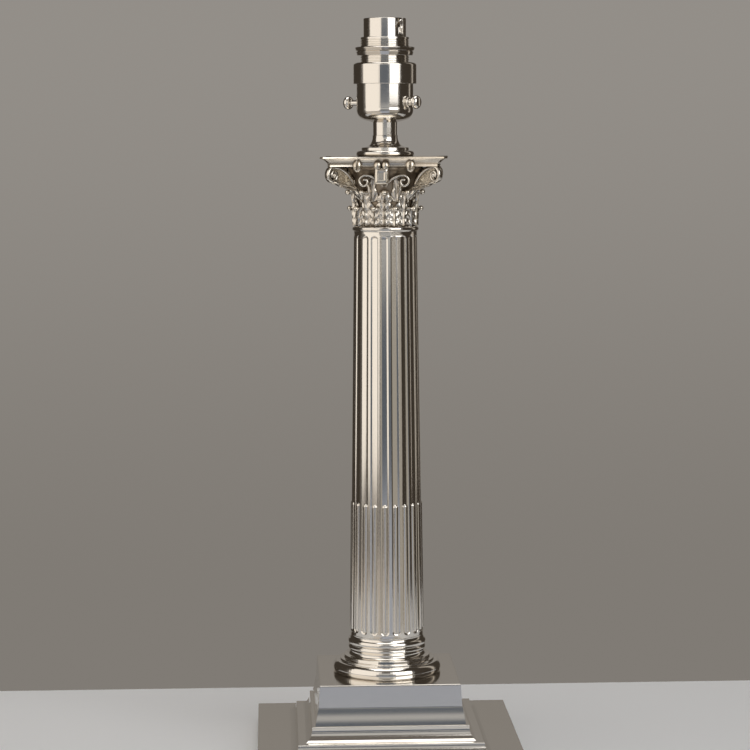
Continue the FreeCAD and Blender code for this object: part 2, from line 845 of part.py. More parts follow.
def make_holder_cup():
    """The cup with its domed floor and round corner, bored for the rod and the switch bar."""
    outline = Outline(tube_hole, neck_top)
    outline.line(neck_radius, neck_top)
    outline.line(cup_dome_radius, neck_top + cup_dome_rise)
    outline.curve(cup_radius, cup_wall_start, cup_corner_bulge, small_steps)
    outline.line(cup_radius, cup_top)
    outline.line(cup_bore, cup_top)
    outline.line(cup_bore, cup_wall_start)
    outline.line(cup_dome_radius, cup_wall_start)
    outline.line(cup_dome_radius, neck_top + cup_floor)
    outline.line(tube_hole, neck_top + cup_floor)
    cup = outline.turned()
    hole = along_bar(switch_bush_radius + slip_gap, -2 * cup_radius, 2 * cup_radius)
    return cup.cut(hole)


def make_holder_collar():
    """The cap ring that screws down over the cup and clamps the shell."""
    outline = Outline(collar_bore, collar_bottom)
    outline.line(collar_radius, collar_bottom)
    outline.line(collar_radius, collar_top - collar_edge)
    outline.line(collar_radius - collar_edge, collar_top)
    outline.line(barrel_radius + slip_gap, collar_top)
    outline.line(barrel_radius + slip_gap, collar_top - collar_shoulder)
    outline.line(collar_bore, collar_top - collar_shoulder)
    return outline.turned()


def make_bayonet_shell():
    """The shell: a clamped flange, the threaded barrel and the mouth with its two J slots."""
    flange_top = collar_top - collar_shoulder
    outline = Outline(barrel_bore, cup_top)
    outline.line(cup_radius, cup_top)
    outline.line(cup_radius, flange_top)
    outline.line(barrel_radius, flange_top)
    outline.line(barrel_radius, barrel_top)
    outline.line(shell_radius, barrel_top)
    outline.line(shell_radius, shell_top)
    outline.line(shell_bore, shell_top)
    outline.line(shell_bore, barrel_top)
    outline.line(barrel_bore, barrel_top)
    shell = outline.turned()
    entry = Part.makeBox(shell_radius + 1.0, slot_width, slot_depth,
                         Vector(0, -slot_width / 2, shell_top - slot_depth))
    hook_angle = degrees((slot_hook - slot_width) / shell_radius)
    pocket = Part.makeBox(shell_radius + 1.0, slot_width, slot_width,
                          Vector(0, -slot_width / 2, shell_top - slot_depth))
    slots = around(entry, 2, slot_angle)
    for share in (0.5, 1.0):
        slots += around(pocket, 2, slot_angle - share * hook_angle)
    return shell.cut(slots)


def contact_points():
    """Where the two contacts stand, on a line square to the locked lugs of a bulb."""
    lug = radians(slot_angle) - (slot_hook - slot_width) / shell_radius
    across = Vector(-sin(lug), cos(lug), 0) * contact_offset
    return {"a": across, "b": across * -1}


def make_insulator():
    """The ceramic body that holds the contacts, clamped under the flange of the shell."""
    bottom = cup_top - insulator_drop
    body = disc(cup_bore - loose_gap, bottom, insulator_drop)
    body = body.fuse(disc(barrel_bore - slip_gap, cup_top, insulator_face - cup_top))
    for place in contact_points().values():
        wide = disc(spring_bore, bottom, insulator_face - contact_seat - bottom, place.x, place.y)
        narrow = disc(contact_radius + running_gap, bottom, insulator_face - bottom, place.x, place.y)
        body = body.cut([wide, narrow])
    return body.removeSplitter()


def make_contact_plunger(place):
    """One contact: a pin with a rim that its spring pushes against the insulator."""
    rim_top = insulator_face - contact_seat
    pin = disc(contact_radius, rim_top - contact_rim_height,
               contact_rim_height + contact_seat + contact_travel, place.x, place.y)
    rim = disc(contact_radius + contact_rim, rim_top - contact_rim_height, contact_rim_height,
               place.x, place.y)
    return pin.fuse(rim).removeSplitter()


def make_contact_spring(place):
    """The coil spring under one contact, as a plain sleeve."""
    top = insulator_face - contact_seat - contact_rim_height
    outer = disc(contact_radius, top - spring_length, spring_length, place.x, place.y)
    return outer.cut(disc(contact_radius - spring_wall, top - spring_length, spring_length,
                          place.x, place.y))


def pillar_top():
    """The height at which a spring stands on its terminal."""
    return insulator_face - contact_seat - contact_rim_height - spring_length


def make_terminal_pillars():
    """The two square brass terminals under the springs."""
    width = sqrt(2) * (spring_bore - slip_gap)
    pillars = []
    for place in contact_points().values():
        corner = Vector(place.x - width / 2, place.y - width / 2, pillar_top() - pillar_length)
        pillars.append(Part.makeBox(width, width, pillar_length, corner))
    return Part.makeCompound(pillars)


def make_earth_terminal():
    """The earth block on the floor of the cup."""
    block = Part.makeBox(earth_block, earth_block_length, earth_block,
                         Vector(earth_block_offset - earth_block / 2, -earth_block_length / 2,
                                neck_top + cup_floor))
    block.rotate(CENTRE, UP, bar_angle + 90)
    return block


# ---------------------------------------------------------------- push-bar switch


def along_bar(radius, start, end):
    """A cylinder on the axis of the switch bar, between two distances from the column's axis."""
    direction = Vector(cos(radians(bar_angle)), sin(radians(bar_angle)), 0)
    foot = direction * start + Vector(0, 0, bar_axis)
    return Part.makeCylinder(radius, end - start, foot, direction)


def turned_on_bar(outline, start):
    """An outline, drawn as radius and length, turned about the switch bar from a distance."""
    shape = outline.turned()
    shape.rotate(CENTRE, Vector(0, 1, 0), 90)
    shape.translate(Vector(start, 0, bar_axis))
    shape.rotate(CENTRE, UP, bar_angle)
    return shape


bush_face = cup_radius + switch_bush_thickness
near_knob_face = bush_face + loose_gap
far_knob_face = near_knob_face + bar_stroke


def make_switch_bush(side):
    """The bush in the wall of the cup that guides one end of the bar."""
    bush = along_bar(switch_bush_radius, cup_bore - switch_bush_tail, bush_face)
    bush = bush.cut(along_bar(bar_radius + running_gap, 0, bush_face))
    if side < 0:
        bush.rotate(CENTRE, UP, 180)
    return bush


def make_switch_bar():
    """The bar, pushed to its far end, with a tenon at each end for its knob."""
    bar = along_bar(bar_radius, -far_knob_face, near_knob_face)
    tenons = along_bar(bar_tenon_radius, -far_knob_face - bar_tenon_length,
                       near_knob_face + bar_tenon_length)
    return bar.fuse(tenons).removeSplitter()


def make_switch_knob(side):
    """One flattened button, bored for the tenon of the bar."""
    outline = Outline(bar_tenon_radius + running_gap, 0)
    outline.line(knob_radius - knob_edge, 0)
    outline.curve(knob_radius - knob_edge, knob_thickness, knob_edge)
    outline.line(0, knob_thickness)
    outline.line(0, bar_tenon_length + loose_gap)
    outline.line(bar_tenon_radius + running_gap, bar_tenon_length + loose_gap)
    start = near_knob_face if side > 0 else far_knob_face
    knob = turned_on_bar(outline, start)
    if side < 0:
        knob.rotate(CENTRE, UP, 180)
    return knob


def make_switch_carriage():
    """The insulating block on the bar that throws the contacts of the switch."""
    block = Part.makeBox(carriage_length, carriage_width, carriage_height,
                         Vector(-carriage_length / 2 - bar_stroke / 2, -carriage_width / 2,
                                bar_axis - carriage_height / 2))
    block.rotate(CENTRE, UP, bar_angle)
    return block.cut(along_bar(bar_radius + running_gap, -carriage_length * 2, carriage_length * 2))


# ---------------------------------------------------------------- shade ring


def make_shade_ring():
    """The ring nut on the barrel that holds a shade carrier."""
    low = collar_top + ring_low
    high = low + ring_height
    bore = barrel_radius + screw_gap
    outline = Outline(bore, low)
    outline.line(ring_skirt_radius, low)
    outline.line(ring_skirt_radius, low + ring_skirt_height)
    outline.line(ring_flange_radius, low + ring_skirt_height)
    outline.line(ring_radius, high)
    outline.line(bore, high)
    return outline.turned()


# ---------------------------------------------------------------- the whole lamp

pieces = {
    "base_slab": make_base_slab(),
    "step_moulding": make_step_moulding(),
    "pedestal_block": make_pedestal_block(),
    "base_weight": make_base_weight(),
    "felt_pad": make_felt_pad(),
    "cord_bush": make_cord_bush(),
    "centre_tube": make_centre_tube(),
    "rod_fasteners": make_rod_fasteners(),
    "fluted_column": make_fluted_column(),
    "capital": make_capital(),
    "abacus": make_abacus(),
    "flared_cap": make_flared_cap(),
    "neck": make_neck(),
    "holder_cup": make_holder_cup(),
    "holder_collar": make_holder_collar(),
    "bayonet_shell": make_bayonet_shell(),
    "insulator": make_insulator(),
    "terminal_pillars": make_terminal_pillars(),
    "earth_terminal": make_earth_terminal(),
    "switch_bush_near": make_switch_bush(1),
    "switch_bush_far": make_switch_bush(-1),
    "switch_bar": make_switch_bar(),
    "switch_knob_near": make_switch_knob(1),
    "switch_knob_far": make_switch_knob(-1),
    "switch_carriage": make_switch_carriage(),
    "shade_ring": make_shade_ring(),
}
for letter, spot in contact_points().items():
    pieces["contact_plunger_" + letter] = make_contact_plunger(spot)
    pieces["contact_spring_" + letter] = make_contact_spring(spot)

for piece_name, piece in pieces.items():
    save(piece, piece_name)
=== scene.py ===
"""Looks of the column table lamp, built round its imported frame.

Every piece is modelled in millimetres, with the sizes of the part's source, and is brought to
metres when it is finished. The lamp stands on the floor, with its axis on Z and its front
towards -Y.
"""

import logging
from dataclasses import dataclass, field
from enum import Enum
from functools import partial
from math import asin, atan2, cos, degrees, exp, pi, radians, sin, sqrt
from typing import Callable, Sequence

import bpy
from mathutils import Matrix, Vector


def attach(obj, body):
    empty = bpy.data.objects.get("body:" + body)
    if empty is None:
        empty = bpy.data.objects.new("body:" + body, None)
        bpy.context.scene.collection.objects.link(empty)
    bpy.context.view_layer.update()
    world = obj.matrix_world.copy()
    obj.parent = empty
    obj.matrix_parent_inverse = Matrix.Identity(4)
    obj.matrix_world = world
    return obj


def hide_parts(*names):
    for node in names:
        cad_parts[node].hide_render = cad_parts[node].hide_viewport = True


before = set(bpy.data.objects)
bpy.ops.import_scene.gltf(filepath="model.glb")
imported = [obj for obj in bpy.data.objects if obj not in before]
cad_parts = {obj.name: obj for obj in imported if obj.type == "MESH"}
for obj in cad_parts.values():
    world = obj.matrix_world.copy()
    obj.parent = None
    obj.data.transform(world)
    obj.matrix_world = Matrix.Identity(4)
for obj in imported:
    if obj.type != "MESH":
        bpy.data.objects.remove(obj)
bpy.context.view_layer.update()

Flat = tuple[float, float]
Place = tuple[float, float, float]
Run = tuple[float, ...]
Socket = bpy.types.NodeSocket
Value = Socket | float | Place

log = logging.getLogger("lamp")
MM = 0.001
TURN = 2 * pi
AXIS = {"center": (0, 0, 0), "axis": (0, 0, 1)}


# ---------------------------------------------------------------- modelling bench


class Section:
    """A closed section, drawn as distances from the axis and heights."""

    def __init__(self, runs: Sequence[Run]) -> None:
        """Draws the section run by run.

        Args:
            runs: Each gives the point that it leads to, and then nothing, or how far the corner
                there is rounded, or the bulge and the steps of an arc, which stands out on the
                right of the way.
        """
        self.corners: list[Place] = []
        for across, height, *more in runs:
            if len(more) > 1:
                self.corners += self.arc(Vector((across, height)), *more)
            self.corners.append((across, height, more[0] if len(more) == 1 else 0.0))

    def arc(self, end: Vector, bulge: float, steps: int) -> list[Place]:
        """Finds the points within an arc that goes on from the last corner.

        Args:
            end: Where it ends.
            bulge: How far its middle stands off the straight line.
            steps: Straight pieces in it.

        Returns:
            The points without the two ends.
        """
        start = Vector(self.corners[-1][:2])
        half = (end - start).length / 2
        radius = (half**2 + bulge**2) / (2 * abs(bulge))
        span = 2 * asin(min(1.0, half / radius))
        if abs(bulge) > half:
            span = TURN - span
        along = (end - start).normalized()
        side = Vector((along.y, -along.x)) * (1 if bulge > 0 else -1)
        middle = start + along * half + side * (abs(bulge) - radius)
        points: list[Place] = []
        for step in range(1, steps):
            angle = span * (step / steps - 0.5)
            point = middle + along * (radius * sin(angle)) + side * (radius * cos(angle))
            points.append((point.x, point.y, 0.0))
        return points

    def points(self, steps: int) -> list[Flat]:
        """Lists the points of the section, with its soft corners rounded.

        Args:
            steps: Straight pieces in a rounded corner.

        Returns:
            The points in order.
        """
        found: list[Flat] = []
        count = len(self.corners)
        for number, (across, height, soft) in enumerate(self.corners):
            if not soft:
                found.append((across, height))
                continue
            here = Vector((across, height))
            first, last = (
                here + (end - here).normalized() * min(soft, (end - here).length * 0.49)
                for end in (Vector(self.corners[number - 1][:2]),
                            Vector(self.corners[(number + 1) % count][:2]))
            )
            for step in range(steps + 1):
                share = step / steps
                point = first * (1 - share) ** 2 + here * 2 * share * (1 - share) + last * share**2
                found.append((point.x, point.y))
        return found


def clear_bench() -> None:
    """Leaves edit mode and lets go of everything that is selected."""
    if bpy.context.object and bpy.context.object.mode == "EDIT":
        bpy.ops.object.mode_set(mode="OBJECT")
    bpy.ops.object.select_all(action="DESELECT")


def extrude(*step: float) -> None:
    """Extrudes what is selected, by a step along X, Y and Z."""
    bpy.ops.mesh.extrude_region_move(TRANSFORM_OT_translate={"value": step})


class Workpiece:
    """One mesh on the bench, worked on in edit mode and in millimetres."""

    def __init__(self) -> None:
        """Takes the active object, a new primitive, to the bench."""
        self.obj: bpy.types.Object = bpy.context.object

    @classmethod
    def from_chain(cls, points: Sequence[Place]) -> "Workpiece":
        """Starts from one point, extrudes it along a line of points and closes and fills the line.

        Args:
            points: The places that the line goes through.

        Returns:
            The workpiece, in edit mode, with the line and the face within it selected.
        """
        clear_bench()
        bpy.ops.mesh.primitive_plane_add(size=1.0)
        bpy.ops.object.mode_set(mode="EDIT")
        bpy.ops.mesh.select_mode(type="VERT")
        bpy.ops.mesh.select_all(action="SELECT")
        bpy.ops.mesh.merge(type="CENTER")
        here = Vector(points[0])
        bpy.ops.transform.translate(value=here)
        for point in points[1:]:
            extrude(*(Vector(point) - here))
            here = Vector(point)
        bpy.ops.mesh.select_all(action="SELECT")
        piece = cls()
        bpy.ops.object.mode_set(mode="OBJECT")
        ends = (0, len(points) - 1)
        for vertex in piece.obj.data.vertices:
            vertex.select = vertex.index in ends
        bpy.ops.object.mode_set(mode="EDIT")
        bpy.ops.mesh.edge_face_add()
        bpy.ops.mesh.select_all(action="SELECT")
        return piece

    @classmethod
    def cut_out(cls, outline: Sequence[Place], *step: float) -> "Workpiece":
        """Cuts a flat plate to an outline.

        Args:
            outline: The places round it.
            step: Its thickness, along X, Y and Z.

        Returns:
            The workpiece.
        """
        piece = cls.from_chain(outline)
        bpy.ops.mesh.edge_face_add()
        extrude(*step)
        piece.outwards()
        return piece

    @classmethod
    def spun(cls, line: Sequence[Place], steps: int) -> "Workpiece":
        """Sweeps a closed and filled line once round the axis.

        Args:
            line: The places that the line goes through.
            steps: Steps of the sweep.

        Returns:
            The workpiece.
        """
        piece = cls.from_chain(line)
        bpy.ops.mesh.spin(steps=steps, angle=TURN, **AXIS)
        piece.weld()
        return piece

    @classmethod
    def turned(cls, runs: Sequence[Run], steps: int = 96, soft_steps: int = 4) -> "Workpiece":
        """Turns a section about the axis, as on a lathe.

        Args:
            runs: The runs of the section.
            steps: Sides of the turned piece.
            soft_steps: Straight pieces in each rounded corner.

        Returns:
            The workpiece.
        """
        points = Section(runs).points(soft_steps)
        piece = cls.spun([(across, 0.0, height) for across, height in points], steps)
        piece.outwards()
        return piece

    @classmethod
    def squared(cls, runs: Sequence[Run], corner: float, soft_steps: int) -> "Workpiece":
        """Runs a section round a square, and rounds the four mitres.

        Args:
            runs: The runs of the section, with distances taken square to the sides.
            corner: How far each mitre is rounded.
            soft_steps: Straight pieces in each rounded corner of the section.

        Returns:
            The workpiece.
        """
        points = Section(runs).points(soft_steps)
        piece = cls.spun([(across, across, height) for across, height in points], 4)
        inner = min(across for across, _ in points) + corner

        def on_mitre(first: Vector, last: Vector) -> bool:
            """Says whether an edge lies on a mitre, clear of the hole.

            Args:
                first: One of its ends.
                last: The other end.

            Returns:
                Whether it does.
            """
            ends_on = all(abs(abs(end.x) - abs(end.y)) < 0.01 for end in (first, last))
            same = abs(first.x * last.y - first.y * last.x) < 0.5 or abs(first.x - last.x) < 0.01
            beside = first.x * last.x > 0 and first.y * last.y > 0
            return ends_on and same and beside and min(abs(first.x), abs(last.x)) > inner

        piece.select_edges(on_mitre)
        bpy.ops.mesh.bevel(offset=corner, segments=3, affect="EDGES", clamp_overlap=True)
        piece.outwards()
        return piece

    @classmethod
    def grid(cls, across: int, along: int, place: Callable[[float, float], Place]) -> "Workpiece":
        """Starts from a flat grid and gives each of its points a place.

        Args:
            across: Squares across the grid.
            along: Squares along it.
            place: Gives the place for the shares across and along, each from 0 to 1.

        Returns:
            The workpiece.
        """
        clear_bench()
        bpy.ops.mesh.primitive_grid_add(x_subdivisions=across, y_subdivisions=along, size=1.0)
        piece = cls()
        for vertex in piece.obj.data.vertices:
            vertex.co = place(vertex.co.x + 0.5, vertex.co.y + 0.5)
        return piece

    @classmethod
    def ball(cls, radius: float, segments: int, rings: int,
             spot: Place = (0.0, 0.0, 0.0)) -> "Workpiece":
        """Starts from a ball.

        Args:
            radius: Its radius.
            segments: Its sides.
            rings: Its rings from pole to pole.
            spot: The place of its middle.

        Returns:
            The workpiece, in object mode.
        """
        clear_bench()
        bpy.ops.mesh.primitive_uv_sphere_add(segments=segments, ring_count=rings, radius=radius,
                                             location=spot)
        bpy.ops.object.transform_apply(location=True, rotation=False, scale=False)
        return cls()

    @classmethod
    def ribbon(cls, line: Sequence[Flat], width: float, thickness: float) -> "Workpiece":
        """Bends a band with round edges along a line in the plane of X and Z.

        Args:
            line: The points of its middle line.
            width: Width of the band along Y.
            thickness: Its thickness.

        Returns:
            The workpiece.
        """
        curve = bpy.data.curves.new("ribbon", "CURVE")
        curve.dimensions = "3D"
        spline = curve.splines.new("POLY")
        spline.points.add(len(line) - 1)
        for point, (across, height) in zip(spline.points, line):
            point.co = (across, height, 0.0, 1.0)
        curve.twist_mode = "Z_UP"
        curve.extrude = (width - thickness) / 2
        curve.bevel_depth = thickness / 2
        curve.bevel_resolution = 2
        curve.use_fill_caps = True
        obj = bpy.data.objects.new("ribbon", curve)
        bpy.context.scene.collection.objects.link(obj)
        clear_bench()
        obj.select_set(True)
        bpy.context.view_layer.objects.active = obj
        bpy.ops.object.convert(target="MESH")
        piece = cls()
        piece.weld()
        piece.turn(90.0, "X")
        piece.outwards()
        return piece

    def grasp(self, *others: "Workpiece") -> None:
        """Selects the workpiece in object mode and makes it active.

        Args:
            others: Workpieces that are selected with it.
        """
        clear_bench()
        for piece in (*others, self):
            piece.obj.select_set(True)
        bpy.context.view_layer.objects.active = self.obj

    def hold(self) -> None:
        """Takes the workpiece up in edit mode, if another one was in hand."""
        if bpy.context.object is not self.obj or self.obj.mode != "EDIT":
            self.grasp()
            bpy.ops.object.mode_set(mode="EDIT")

    def select_all(self) -> None:
        """Selects the whole workpiece."""
        self.hold()
        bpy.ops.mesh.select_mode(type="VERT")
        bpy.ops.mesh.select_all(action="SELECT")

    def select_faces(self, wanted: Callable[[Vector, Vector], bool]) -> None:
        """Selects faces by their middle and normal, and leaves edit mode on.

        Args:
            wanted: Says whether a face is wanted, from its middle and its normal.
        """
        self.grasp()
        mesh = self.obj.data
        for part in (*mesh.vertices, *mesh.edges):
            part.select = False
        for face in mesh.polygons:
            face.select = wanted(face.center, face.normal)
        bpy.ops.object.mode_set(mode="EDIT")
        bpy.ops.mesh.select_mode(type="FACE")

    def select_edges(self, wanted: Callable[[Vector, Vector], bool]) -> None:
        """Selects edges by their two ends, and leaves edit mode on.

        Args:
            wanted: Says whether an edge is wanted, from its two ends.
        """
        bpy.ops.mesh.select_mode(type="EDGE")
        bpy.ops.mesh.select_all(action="DESELECT")
        bpy.ops.object.mode_set(mode="OBJECT")
        mesh = self.obj.data
        for edge in mesh.edges:
            first, last = (mesh.vertices[end].co for end in edge.vertices)
            edge.select = wanted(first, last)
        bpy.ops.object.mode_set(mode="EDIT")

    def trim(self, limit: float) -> None:
        """Takes away all points above a height.

        Args:
            limit: The height.
        """
        self.select_all()
        bpy.ops.mesh.select_all(action="DESELECT")
        bpy.ops.object.mode_set(mode="OBJECT")
        for vertex in self.obj.data.vertices:
            vertex.select = vertex.co.z > limit
        bpy.ops.object.mode_set(mode="EDIT")
        bpy.ops.mesh.delete(type="VERT")

    def weld(self, reach: float = 0.004) -> None:
        """Merges points that lie within a reach of each other."""
        self.select_all()
        bpy.ops.mesh.remove_doubles(threshold=reach)

    def turn(self, angle: float, axis: str = "Z") -> None:
        """Turns the whole workpiece about the origin.

        Args:
            angle: Degrees, by the right-hand rule.
            axis: X, Y or Z.
        """
        self.select_all()
        # with no window the operator turns the other way
        bpy.ops.transform.rotate(value=-radians(angle), orient_axis=axis, center_override=(0, 0, 0))

    def move(self, *step: float) -> None:
        """Moves the whole workpiece by a step along X, Y and Z."""
        self.select_all()
        bpy.ops.transform.translate(value=step)

    def stretch(self, *factors: float) -> None:
        """Stretches the whole workpiece by factors along X, Y and Z."""
        self.select_all()
        bpy.ops.transform.resize(value=factors)

    def copy_around(self, count: int) -> None:
        """Copies the whole workpiece at equal steps round the axis.

        Args:
            count: How many there are in the end.
        """
        self.select_all()
        bpy.ops.mesh.spin(steps=count - 1, angle=TURN * (count - 1) / count, dupli=True, **AXIS)

    def outwards(self) -> None:
        """Points all faces outwards."""
        self.select_all()
        bpy.ops.mesh.normals_make_consistent(inside=False)

    def shell(self, thickness: float) -> None:
        """Gives an open sheet a wall on its inner side.

        Args:
            thickness: The thickness of the wall.
        """
        wall = self.obj.modifiers.new("wall", "SOLIDIFY")
        wall.thickness = thickness
        wall.offset = -1.0
        self.apply(wall)

    def apply(self, modifier: bpy.types.Modifier) -> None:
        """Applies one modifier, in object mode."""
        self.grasp()
        bpy.ops.object.modifier_apply(modifier=modifier.name)

    def take(self, *others: "Workpiece") -> None:
        """Joins other workpieces to this one, which uses them up."""
        self.grasp(*others)
        bpy.ops.object.join()

    def finish(self, name: str, dress: "Dress", node: str, body: str = "lamp",
               sharp: float = 35.0) -> None:
        """Brings the workpiece to metres, shades it and hands it to its body.

        Args:
            name: The name of the piece.
            dress: Its finish.
            node: The node of the frame that it replaces.
            body: The body that it rides on.
            sharp: The angle in degrees from which an edge stays sharp.
        """
        self.grasp()
        obj = self.obj
        obj.scale = (MM, MM, MM)
        bpy.ops.object.transform_apply(location=True, rotation=True, scale=True)
        bpy.ops.object.shade_smooth_by_angle(angle=radians(sharp))
        even = obj.modifiers.new("even", "WEIGHTED_NORMAL")
        even.keep_sharp = True
        self.apply(even)
        obj.name = obj.data.name = name
        dress.value.wear_on(obj)
        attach(obj, body)
        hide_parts(node)
        log.info("%s: %d faces, on %s", name, len(obj.data.polygons), body)


# ---------------------------------------------------------------- finishes


class NodeBench:
    """Places and joins the nodes of one material or node group."""

    def __init__(self, tree: bpy.types.NodeTree) -> None:
        """Takes the tree that is worked on."""
        self.tree = tree

    def put(self, socket: Socket, value: Value) -> None:
        """Fills an input.

        Args:
            socket: The input.
            value: A socket that is linked to it, a number, a vector or a colour.
        """
        if isinstance(value, Socket):
            self.tree.links.new(value, socket)
        else:
            socket.default_value = (*value, 1.0) if socket.type == "RGBA" else value

    def add(self, kind: str, inputs: dict[str | int, Value] | None = None,
            **settings: object) -> bpy.types.Node:
        """Adds one node.

        Args:
            kind: The type of the node, without its ShaderNode prefix.
            inputs: What goes into its inputs.
            settings: Properties of the node.

        Returns:
            The node.
        """
        node = self.tree.nodes.new(kind if kind.startswith("Node") else "ShaderNode" + kind)
        for name, setting in settings.items():
            setattr(node, name, setting)
        for key, value in (inputs or {}).items():
            self.put(node.inputs[key], value)
        return node

    def feed(self, **values: Value) -> None:
        """Fills inputs of the material's shader, each named with _ for its spaces."""
        for name, value in values.items():
            self.put(self.tree.nodes["Principled BSDF"].inputs[name.replace("_", " ")], value)

    def math(self, operation: str, *values: Socket | float) -> Socket:
        """Adds one sum of sockets and numbers, and gives its result."""
        return self.add("Math", dict(enumerate(values)), operation=operation).outputs[0]

    def spread(self, value: Socket, low: float, high: float, to_low: float = 0.0,
               to_high: float = 1.0) -> Socket:
        """Maps a range of values to another one, smoothly and with no overshoot.

        Args:
            value: The socket that is mapped.
            low: Start of the range.
            high: End of the range.
            to_low: What its start becomes.
            to_high: What its end becomes.

        Returns:
            The result's socket.
        """
        inputs = dict(enumerate((value, low, high, to_low, to_high)))
        return self.add("MapRange", inputs, interpolation_type="SMOOTHSTEP").outputs[0]

    def blend(self, share: Socket, first: Socket | Place, second: Socket | Place) -> Socket:
        """Mixes two colours, and gives the mixed one, with a share of the second."""
        return self.add("Mix", {0: share, 6: first, 7: second}, data_type="RGBA").outputs[2]

    def tint(self, colour: Socket | Place, mask: Socket, amount: float, other: Place) -> Socket:
        """Blends another colour in by a mask that is first weakened to an amount."""
        return self.blend(self.math("MULTIPLY", mask, amount), colour, other)

    def noise(self, scale: Socket | float, detail: float, roughness: float = 0.5) -> Socket:
        """Adds a noise that is fixed to the object.

        Args:
            scale: Its scale, as a socket or a number.
            detail: How many finer noises are added to it.
            roughness: How strong these are.

        Returns:
            The socket with its values.
        """
        inputs = {"Vector": self.add("TexCoord").outputs["Object"], "Scale": scale,
                  "Detail": detail, "Roughness": roughness}
        return self.add("TexNoise", inputs).outputs[0]

    def bump(self, height: Socket, strength: float, distance: float,
             **under: Socket) -> Socket:
        """Turns a height into a normal, on top of the Normal under it if there is one."""
        inputs = {"Height": height, "Strength": strength, "Distance": distance, **under}
        return self.add("Bump", inputs).outputs[0]

    def ageing_and_shade(self, blotch_scale: float = 60.0, reach: float = 0.003) -> dict[str, Socket]:
        """Adds the group with the marks of an aged surface and of painted shade, which is made on
        first use.

        Args:
            blotch_scale: Scale of the blotches.
            reach: How far a recess is looked for, in metres.

        Returns:
            The masks of edge wear, soiling and painted shade in recesses, blotches and fine
            rubbing, by name.
        """
        group = bpy.data.node_groups.get("ageing_and_shade") or self.make_ageing_and_shade()
        inputs = {"Blotch Scale": blotch_scale, "Recess Reach": reach}
        return self.add("Group", inputs, node_tree=group).outputs

    @staticmethod
    def make_ageing_and_shade() -> bpy.types.NodeTree:
        """Makes the group with the marks of an aged surface and of painted shade.

        Returns:
            The group.
        """
        tree = bpy.data.node_groups.new("ageing_and_shade", "ShaderNodeTree")
        for way, names in (("INPUT", ("Blotch Scale", "Recess Reach")),
                           ("OUTPUT", ("Edge", "Recess Dirt And Shade", "Blotch", "Rub"))):
            for name in names:
                tree.interface.new_socket(name, in_out=way, socket_type="NodeSocketFloat")
        bench = NodeBench(tree)
        given = bench.add("NodeGroupInput").outputs
        point = bench.add("NewGeometry").outputs["Pointiness"]
        # ambient occlusion marks the recesses: partly soiling, partly painted shade
        corner = bench.add("AmbientOcclusion", {"Distance": given["Recess Reach"]}, samples=6)
        place = bench.add("TexCoord").outputs["Object"]
        long_way = bench.add("Mapping", {"Vector": place, "Scale": (1.0, 1.0, 0.08)}).outputs[0]
        rub = bench.add("TexNoise", {"Vector": long_way, "Scale": 900.0, "Detail": 2.0})
        bench.add("NodeGroupOutput", {
            "Edge": bench.spread(point, 0.52, 0.60),
            "Recess Dirt And Shade": bench.spread(corner.outputs["AO"], 0.35, 0.95, 1.0, 0.0),
            "Blotch": bench.spread(bench.noise(given["Blotch Scale"], 5.0, 0.62), 0.42, 0.68),
            "Rub": bench.spread(rub.outputs[0], 0.45, 0.75),
        })
        return tree


@dataclass(frozen=True)
class Finish:
    """A finish that a piece can wear, with the record's slot that it belongs to."""

    name: str
    slot: str

    def material(self) -> bpy.types.Material:
        """Finds the material, or makes it on first use.

        Returns:
            The material.
        """
        made = bpy.data.materials.get(self.name)
        if not made:
            made = bpy.data.materials.new(self.name)
            made.use_nodes = True
            self.build(NodeBench(made.node_tree))
        return made

    def build(self, bench: NodeBench) -> None:
        """Builds the nodes round the shader, on the bench of the material."""
        raise NotImplementedError

    def wear_on(self, obj: bpy.types.Object) -> None:
        """Puts the finish on an object.

        Args:
            obj: The object.
        """
        obj.data.materials.clear()
        obj.data.materials.append(self.material())


@dataclass(frozen=True)
class PlatedSilver(Finish):
    """Old silver plate: polished, a little wavy, tarnished, darkened in the recesses by soiling and
    by painted shade, warm on the edges.
    """

    silver: Place = (0.90, 0.875, 0.835)
    tarnish: Place = (0.62, 0.53, 0.42)
    grime_and_shade: Place = (0.10, 0.065, 0.035)
    worn: Place = (0.92, 0.84, 0.70)
    gloss: float = 0.115
    clouded: float = 0.30
    rubbed: float = 0.55
    dirt_and_shade: float = 0.85
    wave_scale: float = 55.0
    waviness: float = 0.00022
    pit_scale: float = 1400.0
    pitting: float = 0.000012
    reach: float = 0.003

    def build(self, bench: NodeBench) -> None:
        """Builds the nodes round the shader.

        Args:
            bench: The bench of the material.
        """
        age_and_shade = bench.ageing_and_shade(reach=self.reach)
        colour = bench.tint(self.silver, age_and_shade["Blotch"], self.clouded, self.tarnish)
        colour = bench.tint(colour, age_and_shade["Edge"], self.rubbed, self.worn)
        # the recess mask lays a near-black brown: partly soiling, partly painted shade
        colour = bench.tint(colour, age_and_shade["Recess Dirt And Shade"], self.dirt_and_shade, self.grime_and_shade)
        rough = bench.math("MULTIPLY_ADD", age_and_shade["Blotch"], 0.07, self.gloss)
        for mask, amount in (("Recess Dirt And Shade", 0.25), ("Rub", 0.05)):
            rough = bench.math("ADD", rough, bench.math("MULTIPLY", age_and_shade[mask], amount))
        wave = bench.bump(bench.noise(self.wave_scale, 1.5), 1.0, self.waviness)
        pits = bench.bump(bench.noise(self.pit_scale, 3.0), 0.35, self.pitting, Normal=wave)
        bench.feed(Base_Color=colour, Metallic=1.0, Roughness=rough, Normal=pits)


